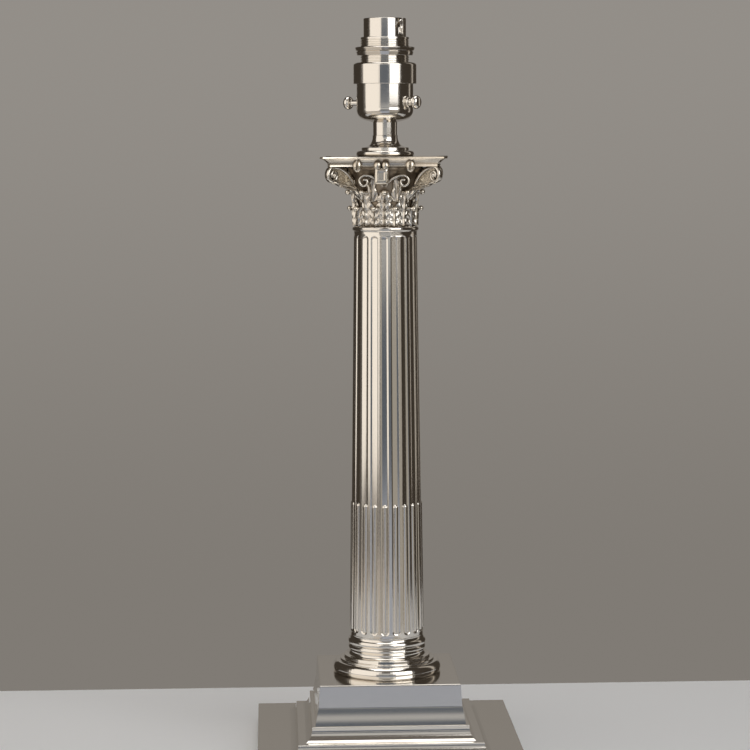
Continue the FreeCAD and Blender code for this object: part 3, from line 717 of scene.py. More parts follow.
@dataclass(frozen=True)
class BareMetal(Finish):
    """Brass, steel or iron as it comes from the works, with stains, painted shade in its recesses
    and fine marks.
    """

    colour: Place = (0.7, 0.55, 0.3)
    stain_and_shade: Place = (0.3, 0.2, 0.1)
    gloss: float = 0.3
    metal: float = 1.0
    grain: float = 0.00002
    grain_scale: float = 900.0

    def build(self, bench: NodeBench) -> None:
        """Builds the nodes round the shader.

        Args:
            bench: The bench of the material.
        """
        age_and_shade = bench.ageing_and_shade(120.0)
        colour = bench.tint(self.colour, age_and_shade["Blotch"], 0.4, self.stain_and_shade)
        # the same brown again in the recesses: partly soiling, partly painted shade
        colour = bench.tint(colour, age_and_shade["Recess Dirt And Shade"], 0.6, self.stain_and_shade)
        bench.feed(Base_Color=colour, Metallic=self.metal,
                   Roughness=bench.math("MULTIPLY_ADD", age_and_shade["Rub"], 0.15, self.gloss),
                   Normal=bench.bump(bench.noise(self.grain_scale, 4.0), 0.6, self.grain))


@dataclass(frozen=True)
class Moulded(Finish):
    """Ceramic or moulded plastic: slightly mottled, with a soft gloss."""

    colour: Place = (0.8, 0.78, 0.72)
    mottle: Place = (0.7, 0.66, 0.58)
    gloss: float = 0.35
    shaded: float = 0.35
    grain: float = 0.00003
    grain_scale: float = 700.0

    def build(self, bench: NodeBench) -> None:
        """Builds the nodes round the shader.

        Args:
            bench: The bench of the material.
        """
        age_and_shade = bench.ageing_and_shade(200.0)
        # a darker mottle in the recesses: painted shade
        shade = tuple(part * self.shaded for part in self.mottle)
        colour = bench.tint(self.colour, age_and_shade["Blotch"], 0.5, self.mottle)
        bench.feed(Base_Color=bench.tint(colour, age_and_shade["Recess Dirt And Shade"], 0.5, shade), Roughness=self.gloss,
                   Normal=bench.bump(bench.noise(self.grain_scale, 3.0), 0.4, self.grain))


@dataclass(frozen=True)
class Baize(Finish):
    """Green felt with short, tangled fibres."""

    colour: Place = (0.035, 0.12, 0.065)
    fibre: Place = (0.07, 0.20, 0.11)
    pile: float = 0.0003
    pile_scale: float = 1500.0

    def build(self, bench: NodeBench) -> None:
        """Builds the nodes round the shader.

        Args:
            bench: The bench of the material.
        """
        fuzz = bench.noise(self.pile_scale, 6.0, 0.7)
        bench.feed(Base_Color=bench.blend(bench.spread(fuzz, 0.4, 0.65), self.colour, self.fibre),
                   Roughness=0.95, Sheen_Weight=0.4, Normal=bench.bump(fuzz, 0.8, self.pile))


class Dress(Enum):
    """The finishes of this lamp."""

    PLATE = PlatedSilver("silver_plate", "silver_plate")
    CAST_PLATE = PlatedSilver("cast_silver_plate", "silver_plate", silver=(0.82, 0.785, 0.725),
                              tarnish=(0.46, 0.38, 0.30), gloss=0.16, dirt_and_shade=0.97, waviness=0.0003)
    # a darker copy of the plate with a longer recess reach, for the abacus: painted shade
    SHADED_PLATE = PlatedSilver("shaded_silver_plate", "silver_plate", silver=(0.74, 0.69, 0.61),
                                tarnish=(0.40, 0.32, 0.24), gloss=0.15, dirt_and_shade=0.97,
                                waviness=0.0003, reach=0.006)
    # a much darker copy of the plate, for the bell: painted shade behind the leaves
    SUNK_PLATE = PlatedSilver("shadow_silver_plate", "silver_plate", silver=(0.40, 0.34, 0.27),
                              tarnish=(0.24, 0.18, 0.12), gloss=0.3, dirt_and_shade=0.95, waviness=0.0004)
    BRASS = BareMetal("raw_brass", "raw_brass")
    STEEL = BareMetal("plain_steel", "plain_steel", colour=(0.55, 0.55, 0.56),
                      stain_and_shade=(0.22, 0.2, 0.18))
    IRON = BareMetal("cast_iron", "iron", colour=(0.06, 0.06, 0.065), stain_and_shade=(0.09, 0.05, 0.03),
                     gloss=0.7, metal=0.6, grain=0.0004, grain_scale=500.0)
    BAIZE = Baize("green_baize", "baize")
    BLACK = Moulded("black_moulding", "black_moulding", colour=(0.02, 0.02, 0.02),
                    mottle=(0.035, 0.033, 0.03))
    CERAMIC = Moulded("white_ceramic", "white_ceramic", colour=(0.82, 0.79, 0.72),
                      mottle=(0.72, 0.67, 0.58), gloss=0.45)


# ---------------------------------------------------------------- base


@dataclass
class SteppedBase:
    """The square base: slab, two hollow steps and the pedestal block."""

    slab_half: float = 78.0
    slab_low: float = 1.0
    slab_top: float = 13.0
    slab_corner: float = 1.6
    wall: float = 2.0
    step_half: float = 58.0
    step_rise: float = 7.0
    moulding_top: float = 28.4
    pedestal_half: float = 41.3
    pedestal_top: float = 51.9
    pedestal_wall: float = 2.6
    tube_hole: float = 5.1

    def build(self) -> None:
        """Builds and dresses the tray-like slab, the stepped moulding and the upright block."""
        hole, half, wall = self.tube_hole, self.slab_half, self.wall
        low, top = self.slab_low, self.slab_top
        Workpiece.squared([
            (hole, top), (half, top, 0.9), (half, low, 0.4), (half - wall, low),
            (half - wall, top - wall), (hole, top - wall),
        ], self.slab_corner, 5).finish("slab", Dress.PLATE, "base_slab")

        half, low, top = self.step_half, self.slab_top, self.moulding_top
        middle = low + self.step_rise
        Workpiece.squared([
            (41.2, low), (half, low), (half, low + 1.4, 0.35), (54.1, middle - 1.2, -0.8, 8),
            (54.1, middle, 0.35), (49.5, middle), (45.9, top - 1.2, -1.0, 10), (45.9, top, 0.35),
            (41.2, top),
        ], 0.5, 3).finish("stepped_moulding", Dress.PLATE, "step_moulding")

        low, top = self.moulding_top, self.pedestal_top
        floor = top - self.pedestal_wall
        Workpiece.squared([
            (hole, top), (self.pedestal_half, top, 0.9), (41.95, low + 10.6),
            (44.0, low, -0.14, 12), (41.4, low), (38.7, floor), (hole, floor),
        ], 0.7, 5).finish("pedestal", Dress.PLATE, "pedestal_block")


# ---------------------------------------------------------------- column


@dataclass
class FlutedColumn:
    """The turned foot, the fluted and cabled shaft and the astragal, in one piece."""

    low: float = 51.9
    shaft_low: float = 67.8
    shaft_top: float = 315.1
    low_radius: float = 21.9
    neck_radius: float = 18.75
    flutes: int = 20
    flute_low: float = 76.4
    flute_top: float = 313.0
    seam_low: float = 75.4
    seam_top: float = 313.8
    land_share: float = 0.25
    flute_depth: float = 0.24
    bow_reach: float = 1.06
    bow_edge: float = 0.245
    bow_depth: float = 0.785
    cable_gap: float = 0.6
    cable_top: float = 155.0
    cable_radius: float = 1.95
    cable_rise: float = 0.45
    astragal_radius: float = 18.6
    astragal_height: float = 3.2
    bore: float = 15.0
    twist: float = -5.2

    def radius(self, height: float) -> float:
        """Gives the radius of the plain shaft at a height."""
        share = (height - self.shaft_low) / (self.shaft_top - self.shaft_low)
        return self.low_radius + share * (self.neck_radius - self.low_radius)

    def build(self) -> None:
        """Builds and dresses the column."""
        foot = self.build_foot()
        foot.take(self.build_astragal(), self.build_shaft(), self.build_cables())
        foot.turn(self.twist)
        foot.finish("column", Dress.PLATE, "fluted_column")

    def build_foot(self) -> Workpiece:
        """Turns the foot with its bands, up to the flutes.

        Returns:
            The workpiece.
        """
        low, seam = self.low, self.seam_low
        return Workpiece.turned([
            (self.bore, low), (31.2, low), (32.2, low + 1.6, 0.3, 6), (29.9, low + 6.9, 0.9, 14),
            (28.2, low + 7.0, 0.2), (28.1, low + 8.2, 0.3), (25.9, low + 8.3, 0.2),
            (25.7, low + 10.2, 0.35), (24.5, low + 10.4), (22.7, low + 13.7, -1.1, 10),
            (22.7, low + 16.1, 0.45, 8), (22.5, low + 16.4), (22.6, low + 20.3, 0.75, 10),
            (22.3, low + 20.5), (self.radius(low + 22.6), low + 22.6, -0.2, 6),
            (self.radius(low + 22.7) - 0.12, low + 22.75), (self.radius(low + 22.9), low + 22.9),
            (self.radius(seam), seam), (self.bore, seam),
        ], 120)

    def build_astragal(self) -> Workpiece:
        """Turns the round moulding at the top of the shaft.

        Returns:
            The workpiece.
        """
        edge, top = self.astragal_radius, self.shaft_top + self.astragal_height
        return Workpiece.turned([
            (self.bore, self.seam_top), (self.radius(self.flute_top), self.seam_top),
            (self.radius(self.shaft_top), self.shaft_top), (edge, self.shaft_top),
            (edge, top, 1.2, 10), (self.bore, top),
        ], 120)

    def half_width(self, height: float) -> float:
        """Gives half the width of a flute at a height."""
        return (1 - self.land_share) * (pi / self.flutes) * self.radius(height)

    def flute_rows(self) -> list[Flat]:
        """Lists the rows of a flute's grid, which lie closer at its round ends.

        Returns:
            The height of each row, and how far the flute is open there.
        """
        end_low, end_top = self.half_width(self.flute_low), self.half_width(self.flute_top)
        ends, runs = 9, 24
        angles = [pi / 2 * step / ends for step in range(ends + 1)]
        start, stop = self.flute_low + end_low, self.flute_top - end_top
        return [
            (self.seam_low, 0.0),
            *((self.flute_low + end_low * (1 - cos(angle)), sin(angle)) for angle in angles),
            *((start + (stop - start) * step / runs, 1.0) for step in range(1, runs)),
            *((self.flute_top - end_top * (1 - cos(angle)), sin(angle)) for angle in angles[::-1]),
            (self.seam_top, 0.0),
        ]

    def flute_point(self, rows: Sequence[Flat], columns: Sequence[Flat], across: float,
                    along: float) -> Place:
        """Places one point of a flute's grid, facing +X.

        Args:
            rows: The height of each row, and how far the flute is open there.
            columns: The share of each column in the flute's half width, and the side of a land.
            across: The share across the grid.
            along: The share along it.

        Returns:
            The place.
        """
        height, opening = rows[round(along * (len(rows) - 1))]
        share, land = columns[round(across * (len(columns) - 1))]
        reach = self.radius(height)
        angle = land * (pi / self.flutes)
        if not land:
            half = self.half_width(height)
            angle = share * half * max(opening, 0.02) / reach
            if abs(share) < 0.999:
                bow = (sqrt(max(0.0, self.bow_reach - share**2)) - self.bow_edge) / self.bow_depth
                reach -= max(self.flute_depth * half * opening * bow, 0.0)
        return (reach * cos(angle), reach * sin(angle), height)

    def build_shaft(self) -> Workpiece:
        """Carves one flute with its round ends and copies it round the shaft.

        Returns:
            The workpiece.
        """
        rows, steps = self.flute_rows(), 14
        columns = [(-1.0, -1.0), *((-1.0 + 2.0 * step / steps, 0.0) for step in range(steps + 1)),
                   (1.0, 1.0)]
        strip = Workpiece.grid(len(columns) - 1, len(rows) - 1,
                               partial(self.flute_point, rows, columns))
        strip.turn(-90.0)
        strip.copy_around(self.flutes)
        strip.weld(0.01)
        strip.outwards()
        return strip

    def build_cables(self) -> Workpiece:
        """Makes one cable with round ends, and copies it into each flute.

        Returns:
            The workpiece.
        """
        low, top, radius = self.flute_low + self.cable_gap, self.cable_top, self.cable_radius
        cable = Workpiece.ball(radius, 20, 12)
        cable.select_faces(lambda middle, normal: middle.z > 0.0)
        bpy.ops.transform.translate(value=(0, 0, top - low - 2 * radius))
        sunk = radius - self.cable_rise
        low_place, high_place = self.radius(low) - sunk, self.radius(top) - sunk
        cable.move(0, 0, radius)
        cable.turn(-degrees(atan2(low_place - high_place, top - low)), "Y")
        cable.move(low_place, 0, low)
        cable.turn(-90.0)
        cable.copy_around(self.flutes)
        return cable


# ---------------------------------------------------------------- capital


@dataclass
class LeafShape:
    """The sizes of one acanthus leaf."""

    foot: float
    height: float
    width: float
    curl: float
    lobes: int
    bead: float = 0.0
    small_bead: float = 0.0
    thickness: float = 0.7
    rib: float = 1.25
    vein: float = 0.38
    cup: float = 0.9
    roll: float = radians(155.0)

    @property
    def rise(self) -> float:
        """Gives the length of the upright part."""
        return self.height - self.curl

    @property
    def length(self) -> float:
        """Gives the length along the leaf, with the part that rolls over."""
        return self.rise + self.curl * self.roll


@dataclass
class Capital:
    """The capital: bell, two tiers of acanthus, inner helices and corner volutes."""

    low: float = 318.3
    top: float = 353.4
    foot_radius: float = 17.2
    lip_radius: float = 21.6
    lip_height: float = 2.4
    leaves: int = 10
    lower: LeafShape = field(default_factory=lambda: LeafShape(0.2, 10.4, 11.0, 1.3, 3, 1.5))
    upper: LeafShape = field(default_factory=lambda: LeafShape(0.5, 19.8, 11.6, 2.0, 5, 1.6, 0.85))
    sheath: LeafShape = field(default_factory=lambda: LeafShape(14.5, 14.5, 7.4, 1.5, 2))
    sheaths: int = 8
    eye_reach: float = 41.9
    volute_radius: float = 4.7
    volute_width: float = 3.6
    volute_band: float = 2.1
    volute_turns: float = 1.35
    volute_drop: float = 0.4
    stem_radius: float = 17.0
    stem_turn: float = 66.0
    web: float = 2.6
    web_foot: tuple[Flat, ...] = ((36.0, 342.9), (30.5, 340.2), (25.5, 339.4), (20.0, 338.0))
    volute_leaf: tuple[Flat, ...] = ((18.5, 334.0), (21.5, 337.8), (25.0, 340.3), (29.0, 341.6),
                                     (33.5, 342.4), (38.0, 343.3), (42.5, 345.0))
    helix_reach: float = 11.4
    helix_radius: float = 3.7
    helix_drop: float = 5.2
    helix_turns: float = 1.1
    helix_front: float = 23.0
    helix_width: float = 3.0
    helix_band: float = 1.3
    twist: float = -4.4

    def bell_radius(self, height: float) -> float:
        """Gives the radius of the bell, which swells towards its lip."""
        share = max(0.0, (height - self.low) / (self.top - self.lip_height - self.low))
        return self.foot_radius + (self.lip_radius - self.foot_radius) * share**2

    def build(self) -> None:
        """Builds and dresses the bell and, as one piece, all that stands on it."""
        self.build_bell()
        parts: list[Workpiece] = []
        for shape, count, start in ((self.lower, self.leaves, 180.0 / self.leaves),
                                    (self.upper, self.leaves, 0.0),
                                    (self.sheath, self.sheaths, 180.0 / self.sheaths)):
            leaf = self.build_leaf(shape)
            leaf.turn(start - 90.0)
            leaf.copy_around(count)
            parts.append(leaf)
        volute = self.build_volute()
        volute.turn(-45.0)
        volute.copy_around(4)
        helices = self.build_helices()
        helices.copy_around(4)
        volute.take(*parts, helices)
        volute.turn(self.twist)
        volute.finish("leafy_capital", Dress.CAST_PLATE, "capital", sharp=50.0)

    def build_bell(self) -> None:
        """Turns and dresses the bell with its lip and spigot."""
        low, top = self.low, self.top
        lip, edge, steps = top - self.lip_height, self.lip_radius + 0.5, 16
        flare = [low + (lip - low) * step / steps for step in range(1, steps + 1)]
        # the bell wears the darkest copy of the plate: painted shade behind the leaves
        Workpiece.turned([
            (5.1, top), (5.1, top - 4.0), (13.7, top - 4.0), (13.7, low - 9.2), (14.9, low - 9.2),
            (14.9, low), (self.foot_radius, low),
            *((self.bell_radius(height), height) for height in flare),
            (edge, lip + 0.5, 0.3), (edge, top),
        ]).finish("capital_bell", Dress.SUNK_PLATE, "capital", sharp=50.0)

    def leaf_point(self, shape: LeafShape, across: float, along: float) -> Place:
        """Places one point of a leaf that climbs the bell and rolls over, facing +X.

        Args:
            shape: The sizes of the leaf.
            across: The share across it.
            along: The share along it.

        Returns:
            The place.
        """
        side = 2 * across - 1
        beat = shape.lobes * along**0.85
        lobe = abs(sin(pi * beat))
        taper = 1 - 0.5 * along**1.7 - 0.28 * max(0.0, along - 0.72) / 0.28
        half = shape.width / 2 * taper * (0.72 + 0.28 * lobe**0.7)
        lift = 1.1 * abs(side) ** 1.5 * (1 - along) * shape.width / 10
        run = min(shape.length, along * shape.length + lift)
        rib = shape.rib * exp(-((side / 0.11) ** 2)) * (1 - 0.35 * along)
        vein = shape.vein * cos(TURN * (beat - 0.85 * abs(side) - 0.25))
        vein *= min(1.0, 2.2 * abs(side)) * (1 - along**3)
        cup = shape.cup * (1 - side**2) * (0.35 + 0.65 * along) + 0.35 * abs(side) ** 3 * lobe
        relief = shape.thickness + rib + vein + cup - 0.35 * (1 - lobe) * abs(side) ** 2
        height = self.low + shape.foot + min(run, shape.rise)
        turn = max(0.0, run - shape.rise) / shape.curl
        base = self.bell_radius(height) + relief * (1 - 0.4 * turn / shape.roll)
        out = base + shape.curl * (1 - cos(turn))
        up = height + shape.curl * sin(turn) * (0.85 if turn else 1.0)
        angle = side * half / base
        return (out * cos(angle), out * sin(angle), up)

    def build_leaf(self, shape: LeafShape) -> Workpiece:
        """Carves one leaf with its beads, facing +X.

        Args:
            shape: The sizes of the leaf.

        Returns:
            The workpiece.
        """
        columns, rows = 30, 40
        place = partial(self.leaf_point, shape)
        leaf = Workpiece.grid(columns, rows, place)
        leaf.outwards()
        clear_bench()
        if leaf.obj.data.polygons[columns * (rows // 4) + columns // 2].normal.x < 0:
            leaf.select_all()
            bpy.ops.mesh.flip_normals()
        leaf.shell(shape.thickness)
        beads = [(0.5, (shape.rise + 1.9 * shape.curl) / shape.length, shape.bead),
                 (0.14, 0.60, shape.small_bead), (0.86, 0.60, shape.small_bead)]
        for across, along, radius in beads:
            if radius:
                leaf.take(Workpiece.ball(radius, 14, 8, place(across, along)))
        return leaf

    def spiral(self, across: float, top: float, radius: float, turns: float, stem_radius: float,
               stem_turn: float) -> list[Flat]:
        """Draws a rising stem that rolls into a spiral.

        Args:
            across: Distance of the spiral's eye from the axis.
            top: Height of its highest point.
            radius: Its first radius.
            turns: How often it goes round.
            stem_radius: Radius of the stem's arc.
            stem_turn: Degrees that the stem's arc covers.

        Returns:
            The points of its middle line.
        """
        line: list[Flat] = []
        steps = 12
        for step in range(steps):
            angle = radians(90 + stem_turn * (1 - step / steps))
            line.append((across + stem_radius * cos(angle),
                         top - stem_radius + stem_radius * sin(angle)))
        steps = int(26 * turns)
        for step in range(steps + 1):
            share = step / steps
            angle = pi / 2 - TURN * turns * share
            reach = radius * (1 - 0.74 * share**0.85)
            line.append((across + reach * cos(angle), top - radius + reach * sin(angle)))
        return line

    def build_volute(self) -> Workpiece:
        """Builds one corner volute facing +X: band, sunk web, eye and the leaf below it.

        Returns:
            The workpiece.
        """
        reach, radius, top = self.eye_reach, self.volute_radius, self.top - self.volute_drop
        line = self.spiral(reach, top, radius, self.volute_turns, self.stem_radius, self.stem_turn)
        band = Workpiece.ribbon(line, self.volute_width, self.volute_band)
        outline = [*line[:14], (reach, top - 2 * radius + 0.4), *self.web_foot]
        web = Workpiece.cut_out([(x, 0.0, z) for x, z in outline], 0, self.web, 0)
        web.move(0, -self.web / 2, 0)
        eye = Workpiece.ball(1.5, 20, 10)
        eye.stretch(1, 2.1, 1)
        eye.move(reach, 0, top - radius)
        leaf = Workpiece.grid(14, 26, self.volute_leaf_point)
        leaf.outwards()
        leaf.shell(0.6)
        band.take(web, eye, leaf)
        return band

    def volute_leaf_point(self, across: float, along: float) -> Place:
        """Places one point of the leaf that lies under a volute's stem, facing +X.

        Args:
            across: The share across it.
            along: The share along it.

        Returns:
            The place.
        """
        path = self.volute_leaf
        side = 2 * across - 1
        spot = along * (len(path) - 1)
        number = min(int(spot), len(path) - 2)
        share = spot - number
        x, z = (first * (1 - share) + last * share
                for first, last in zip(path[number], path[number + 1]))
        lobe = abs(sin(pi * 4 * along))
        half = 3.3 * (1 - 0.55 * along**2) * (0.7 + 0.3 * lobe)
        drop = 0.5 * exp(-((side / 0.15) ** 2)) + 0.2 * cos(TURN * (4 * along - abs(side)))
        return (x + 0.5 * abs(side), side * half, z - drop + 0.6 * abs(side) ** 2)

    def build_helices(self) -> Workpiece:
        """Builds the pair of small curls on the front, which spring from the middle.

        Returns:
            The workpiece.
        """
        line = self.spiral(self.helix_reach, self.top - self.helix_drop, self.helix_radius,
                           self.helix_turns, 12.0, 62.0)
        curls = []
        for side in (1, -1):
            points = [(side * x, z) for x, z in line]
            curl = Workpiece.ribbon(points, self.helix_width, self.helix_band)
            curl.move(0, -self.helix_front, 0)
            curls.append(curl)
        curls[0].take(curls[1])
        return curls[0]


@dataclass
class Abacus:
    """The hollow-sided plate on the capital, with its flowers and buds."""

    low: float = 353.4
    top: float = 359.0
    half: float = 36.7
    tip: float = 2.8
    hollow: float = 7.2
    slope: float = 2.6
    tip_draw: float = 2.2
    rim: float = 1.15
    bud_across: float = 15.3
    bud_front: float = 28.3
    boss_size: Place = (8.0, 6.0, 9.4)
    boss_front: float = 24.9
    boss_drop: float = 5.6
    twist: float = -4.4
    boss_twist: float = -2.9

    def plan(self, inset: float, height: float) -> list[Place]:
        """Draws the outline of the plate at one level.

        Args:
            inset: How far it is drawn in from the rim.
            height: The level.

        Returns:
            The points of the closed outline.
        """
        half_side = self.half - self.tip / sqrt(2)
        sweep = (half_side**2 + self.hollow**2) / (2 * self.hollow)
        axis = self.half - self.hollow + sweep
        tip_reach = self.half * sqrt(2) - self.tip / 2 - self.tip_draw * inset
        radius = sweep + inset
        # the arc of a side meets the cut corner where x + y is the reach times the root of 2
        gap = axis - tip_reach * sqrt(2)
        end_y = (-gap + sqrt(max(0.0, 2 * radius**2 - gap**2))) / 2
        span = asin(min(1.0, end_y / radius))
        points: list[Place] = []
        steps = 20
        for side in range(4):
            turn = Matrix.Rotation(pi / 2 * side, 3, "Z")
            for step in range(steps + 1):
                angle = span * (2 * step / steps - 1)
                spot = Vector((axis - radius * cos(angle), radius * sin(angle), height))
                points.append(tuple(turn @ spot))
        return points

    def build(self) -> None:
        """Builds and dresses the plate with its ornaments."""
        plate = self.build_plate()
        buds = [self.build_bud(side * self.bud_across) for side in (-1, 1)]
        flower = self.build_flower()
        flower.turn(self.boss_twist)
        buds[0].take(buds[1], flower)
        buds[0].copy_around(4)
        plate.take(buds[0])
        plate.turn(self.twist)
        # the darker copy of the plate paints the shade on the abacus
        plate.finish("abacus_plate", Dress.SHADED_PLATE, "abacus", sharp=40.0)

    def build_plate(self) -> Workpiece:
        """Lofts the plate level by level, from its foot to the rounded rim.

        Returns:
            The workpiece.
        """
        low, top, rim_low, steps = self.low, self.top, self.top - self.rim, 8
        levels: list[Flat] = [(self.slope, low)]
        for step in range(1, steps + 1):
            share = step / steps
            inset = self.slope - (self.slope - 0.7) * share + 0.75 * sin(pi * share)
            levels.append((inset, low + (rim_low - low) * share))
        levels += [(0.25, rim_low), (0.0, rim_low + 0.25), (0.0, top - 0.35), (0.12, top - 0.1),
                   (0.4, top)]
        rows = [self.plan(inset, height) for inset, height in levels]
        plate = Workpiece.from_chain(rows[0])
        bpy.ops.mesh.edge_face_add()
        for before, after in zip(rows, rows[1:]):
            extrude(0, 0, after[0][2] - before[0][2])
            bpy.ops.object.mode_set(mode="OBJECT")
            for vertex in [v for v in plate.obj.data.vertices if v.select]:
                flat = Vector(vertex.co[:2])
                distances = [(Vector(spot[:2]) - flat).length for spot in before]
                vertex.co = after[distances.index(min(distances))]
            bpy.ops.object.mode_set(mode="EDIT")
        plate.outwards()
        return plate

    def build_bud(self, across: float) -> Workpiece:
        """Models one leaf bud: a pointed oval with a cleft down its front.

        Args:
            across: Its place along X.

        Returns:
            The workpiece.
        """
        bud = Workpiece.ball(1.0, 20, 14)
        for vertex in bud.obj.data.vertices:
            x, y, z = vertex.co
            cleft = 0.45 * exp(-((x / 0.22) ** 2)) if y < 0 else 0.0
            waist = 1 - 0.35 * max(0.0, z) ** 2
            vertex.co = (2.75 * x * waist, 2.2 * y * waist * (1 - cleft), 3.9 * z)
        bud.move(across, -self.bud_front, self.low + 0.6)
        return bud

    def build_flower(self) -> Workpiece:
        """Models the boss in the middle of the front, with two lobes above it.

        Returns:
            The workpiece.
        """
        clear_bench()
        bpy.ops.mesh.primitive_cube_add(size=1.0)
        boss = Workpiece()
        boss.stretch(*self.boss_size)
        boss.move(0, -self.boss_front, self.low - self.boss_drop)
        boss.select_faces(lambda middle, normal: normal.y < -0.9)
        bpy.ops.mesh.inset(thickness=1.5, depth=0.9)
        bpy.ops.mesh.inset(thickness=0.9, depth=-0.3)
        boss.select_all()
        bpy.ops.mesh.bevel(offset=0.55, segments=3, affect="EDGES")
        boss.outwards()
        lobes = []
        for side in (-1, 1):
            lobe = Workpiece.ball(2.2, 16, 10)
            lobe.stretch(1.0, 0.8, 1.25)
            lobe.turn(side * -12.0, "Y")
            lobe.move(side * 2.3, -27.4, self.low + 0.4)
            lobes.append(lobe)
        boss.take(*lobes)
        return boss


# ---------------------------------------------------------------- cap, neck and lampholder


@dataclass
class CapAndNeck:
    """The turned cap on the abacus and the neck above it."""

    low: float = 359.0
    cap_top: float = 371.2
    neck_top: float = 378.8
    hole: float = 5.1

    def build(self) -> None:
        """Builds and dresses both pieces."""
        low, middle, top, hole = self.low, self.cap_top, self.neck_top, self.hole
        Workpiece.turned([
            (hole, low), (16.2, low), (16.2, low + 3.3, 0.95, 12), (14.1, low + 3.4, 0.15),
            (14.0, low + 5.2, 0.4), (13.3, low + 5.3, 0.1), (7.5, middle, -2.0, 20), (hole, middle),
        ], 120).finish("flared_cap_piece", Dress.PLATE, "flared_cap")
        Workpiece.turned([
            (hole, middle), (7.1, middle, 0.25), (7.15, top), (hole, top),
        ]).finish("neck_piece", Dress.PLATE, "neck")


@dataclass
class Lampholder:
    """The bayonet lampholder: cup, collar and the shell with its thread and J slots."""

    low: float = 378.8
    cup_top: float = 408.0
    collar_low: float = 401.2
    collar_top: float = 413.6
    barrel_top: float = 428.4
    shell_top: float = 439.3
    hole: float = 5.1
    cup_radius: float = 16.8
    lining: float = 15.8
    collar_radius: float = 18.7
    collar_wall: float = 2.2
    thread_crest: float = 14.34
    thread_root: float = 14.0
    thread_pitch: float = 1.35
    shell_radius: float = 12.6
    shell_bore: float = 11.4
    slot_angle: float = -43.0
    slot_depth: float = 9.5

    def build(self) -> None:
        """Builds and dresses the cup, the collar and the shell."""
        low, top, side = self.low, self.cup_top, self.cup_radius
        Workpiece.turned([
            (self.hole, low), (7.1, low), (12.2, low + 1.5), (16.6, low + 8.6, 1.75, 16),
            (side, low + 12.0), (side, top), (self.lining, top), (self.lining, low + 9.5),
            (12.0, low + 2.8), (self.hole, low + 2.8),
        ], 120).finish("cup", Dress.PLATE, "holder_cup")
        low, top, side = self.collar_low, self.collar_top, self.collar_radius
        Workpiece.turned([
            (16.9, low), (side, low, 0.3), (side, top - 1.6), (17.0, top, 0.5, 8), (14.5, top),
            (14.5, top - self.collar_wall), (16.9, top - self.collar_wall),
        ], 120).finish("collar", Dress.PLATE, "holder_collar")
        self.build_shell()

    def build_shell(self) -> None:
        """Turns the shell with its threaded barrel, cuts the J slots and dresses it."""
        crest, root, pitch = self.thread_crest, self.thread_root, self.thread_pitch
        foot, side, bore = self.collar_top - self.collar_wall, self.shell_radius, self.shell_bore
        runs = [(bore, self.cup_top), (self.cup_radius, self.cup_top), (self.cup_radius, foot),
                (14.3, foot)]
        height = self.collar_top
        while height < self.barrel_top - 1.6:
            runs += [(crest, height), (crest, height + pitch * 0.35), (root, height + pitch * 0.6),
                     (root, height + pitch * 0.75)]
            height += pitch
        runs += [(crest, height), (crest, self.barrel_top, 0.4), (side, self.barrel_top, 0.1),
                 (side, self.shell_top, 0.35), (bore, self.shell_top, 0.35)]
        shell = Workpiece.turned(runs, 120, 3)
        self.cut_slots(shell)
        shell.trim(self.shell_top + 0.01)
        shell.finish("shell", Dress.PLATE, "bayonet_shell")

    def cut_slots(self, shell: Workpiece) -> None:
        """Cuts the two J slots with a pair of bent keys.

        Args:
            shell: The shell.
        """
        top, low = self.shell_top + 1.0, self.shell_top - self.slot_depth
        outline = [(-1.9, top), (1.9, top), (1.9, low + 0.8), (1.1, low), (-4.9, low),
                   (-5.7, low + 0.8), (-5.7, low + 3.0), (-4.9, low + 3.8), (-1.9, low + 3.8)]
        key = Workpiece.cut_out([(9.0, across, height) for across, height in outline], 4.9, 0, 0)
        key.turn(self.slot_angle)
        key.copy_around(2)
        cut = shell.obj.modifiers.new("slot", "BOOLEAN")
        cut.object = key.obj
        cut.operation = "DIFFERENCE"
        shell.apply(cut)
        bpy.data.objects.remove(key.obj)


@dataclass
class ShadeRing:
    """The ring nut that holds a shade carrier."""

    low: float = 417.7
    top: float = 422.6
    bore: float = 14.43

    def build(self) -> None:
        """Turns and dresses the ring."""
        low, top = self.low, self.top
        Workpiece.turned([
            (self.bore, low), (16.4, low, 0.2), (17.0, low + 2.2, 0.15), (16.2, low + 2.45, 0.1),
            (17.1, low + 2.75, 0.15), (17.75, top - 0.4, 0.2), (17.4, top, 0.15), (self.bore, top),
        ], 120, 3).finish("shade_ring_nut", Dress.PLATE, "shade_ring", "shade_ring")


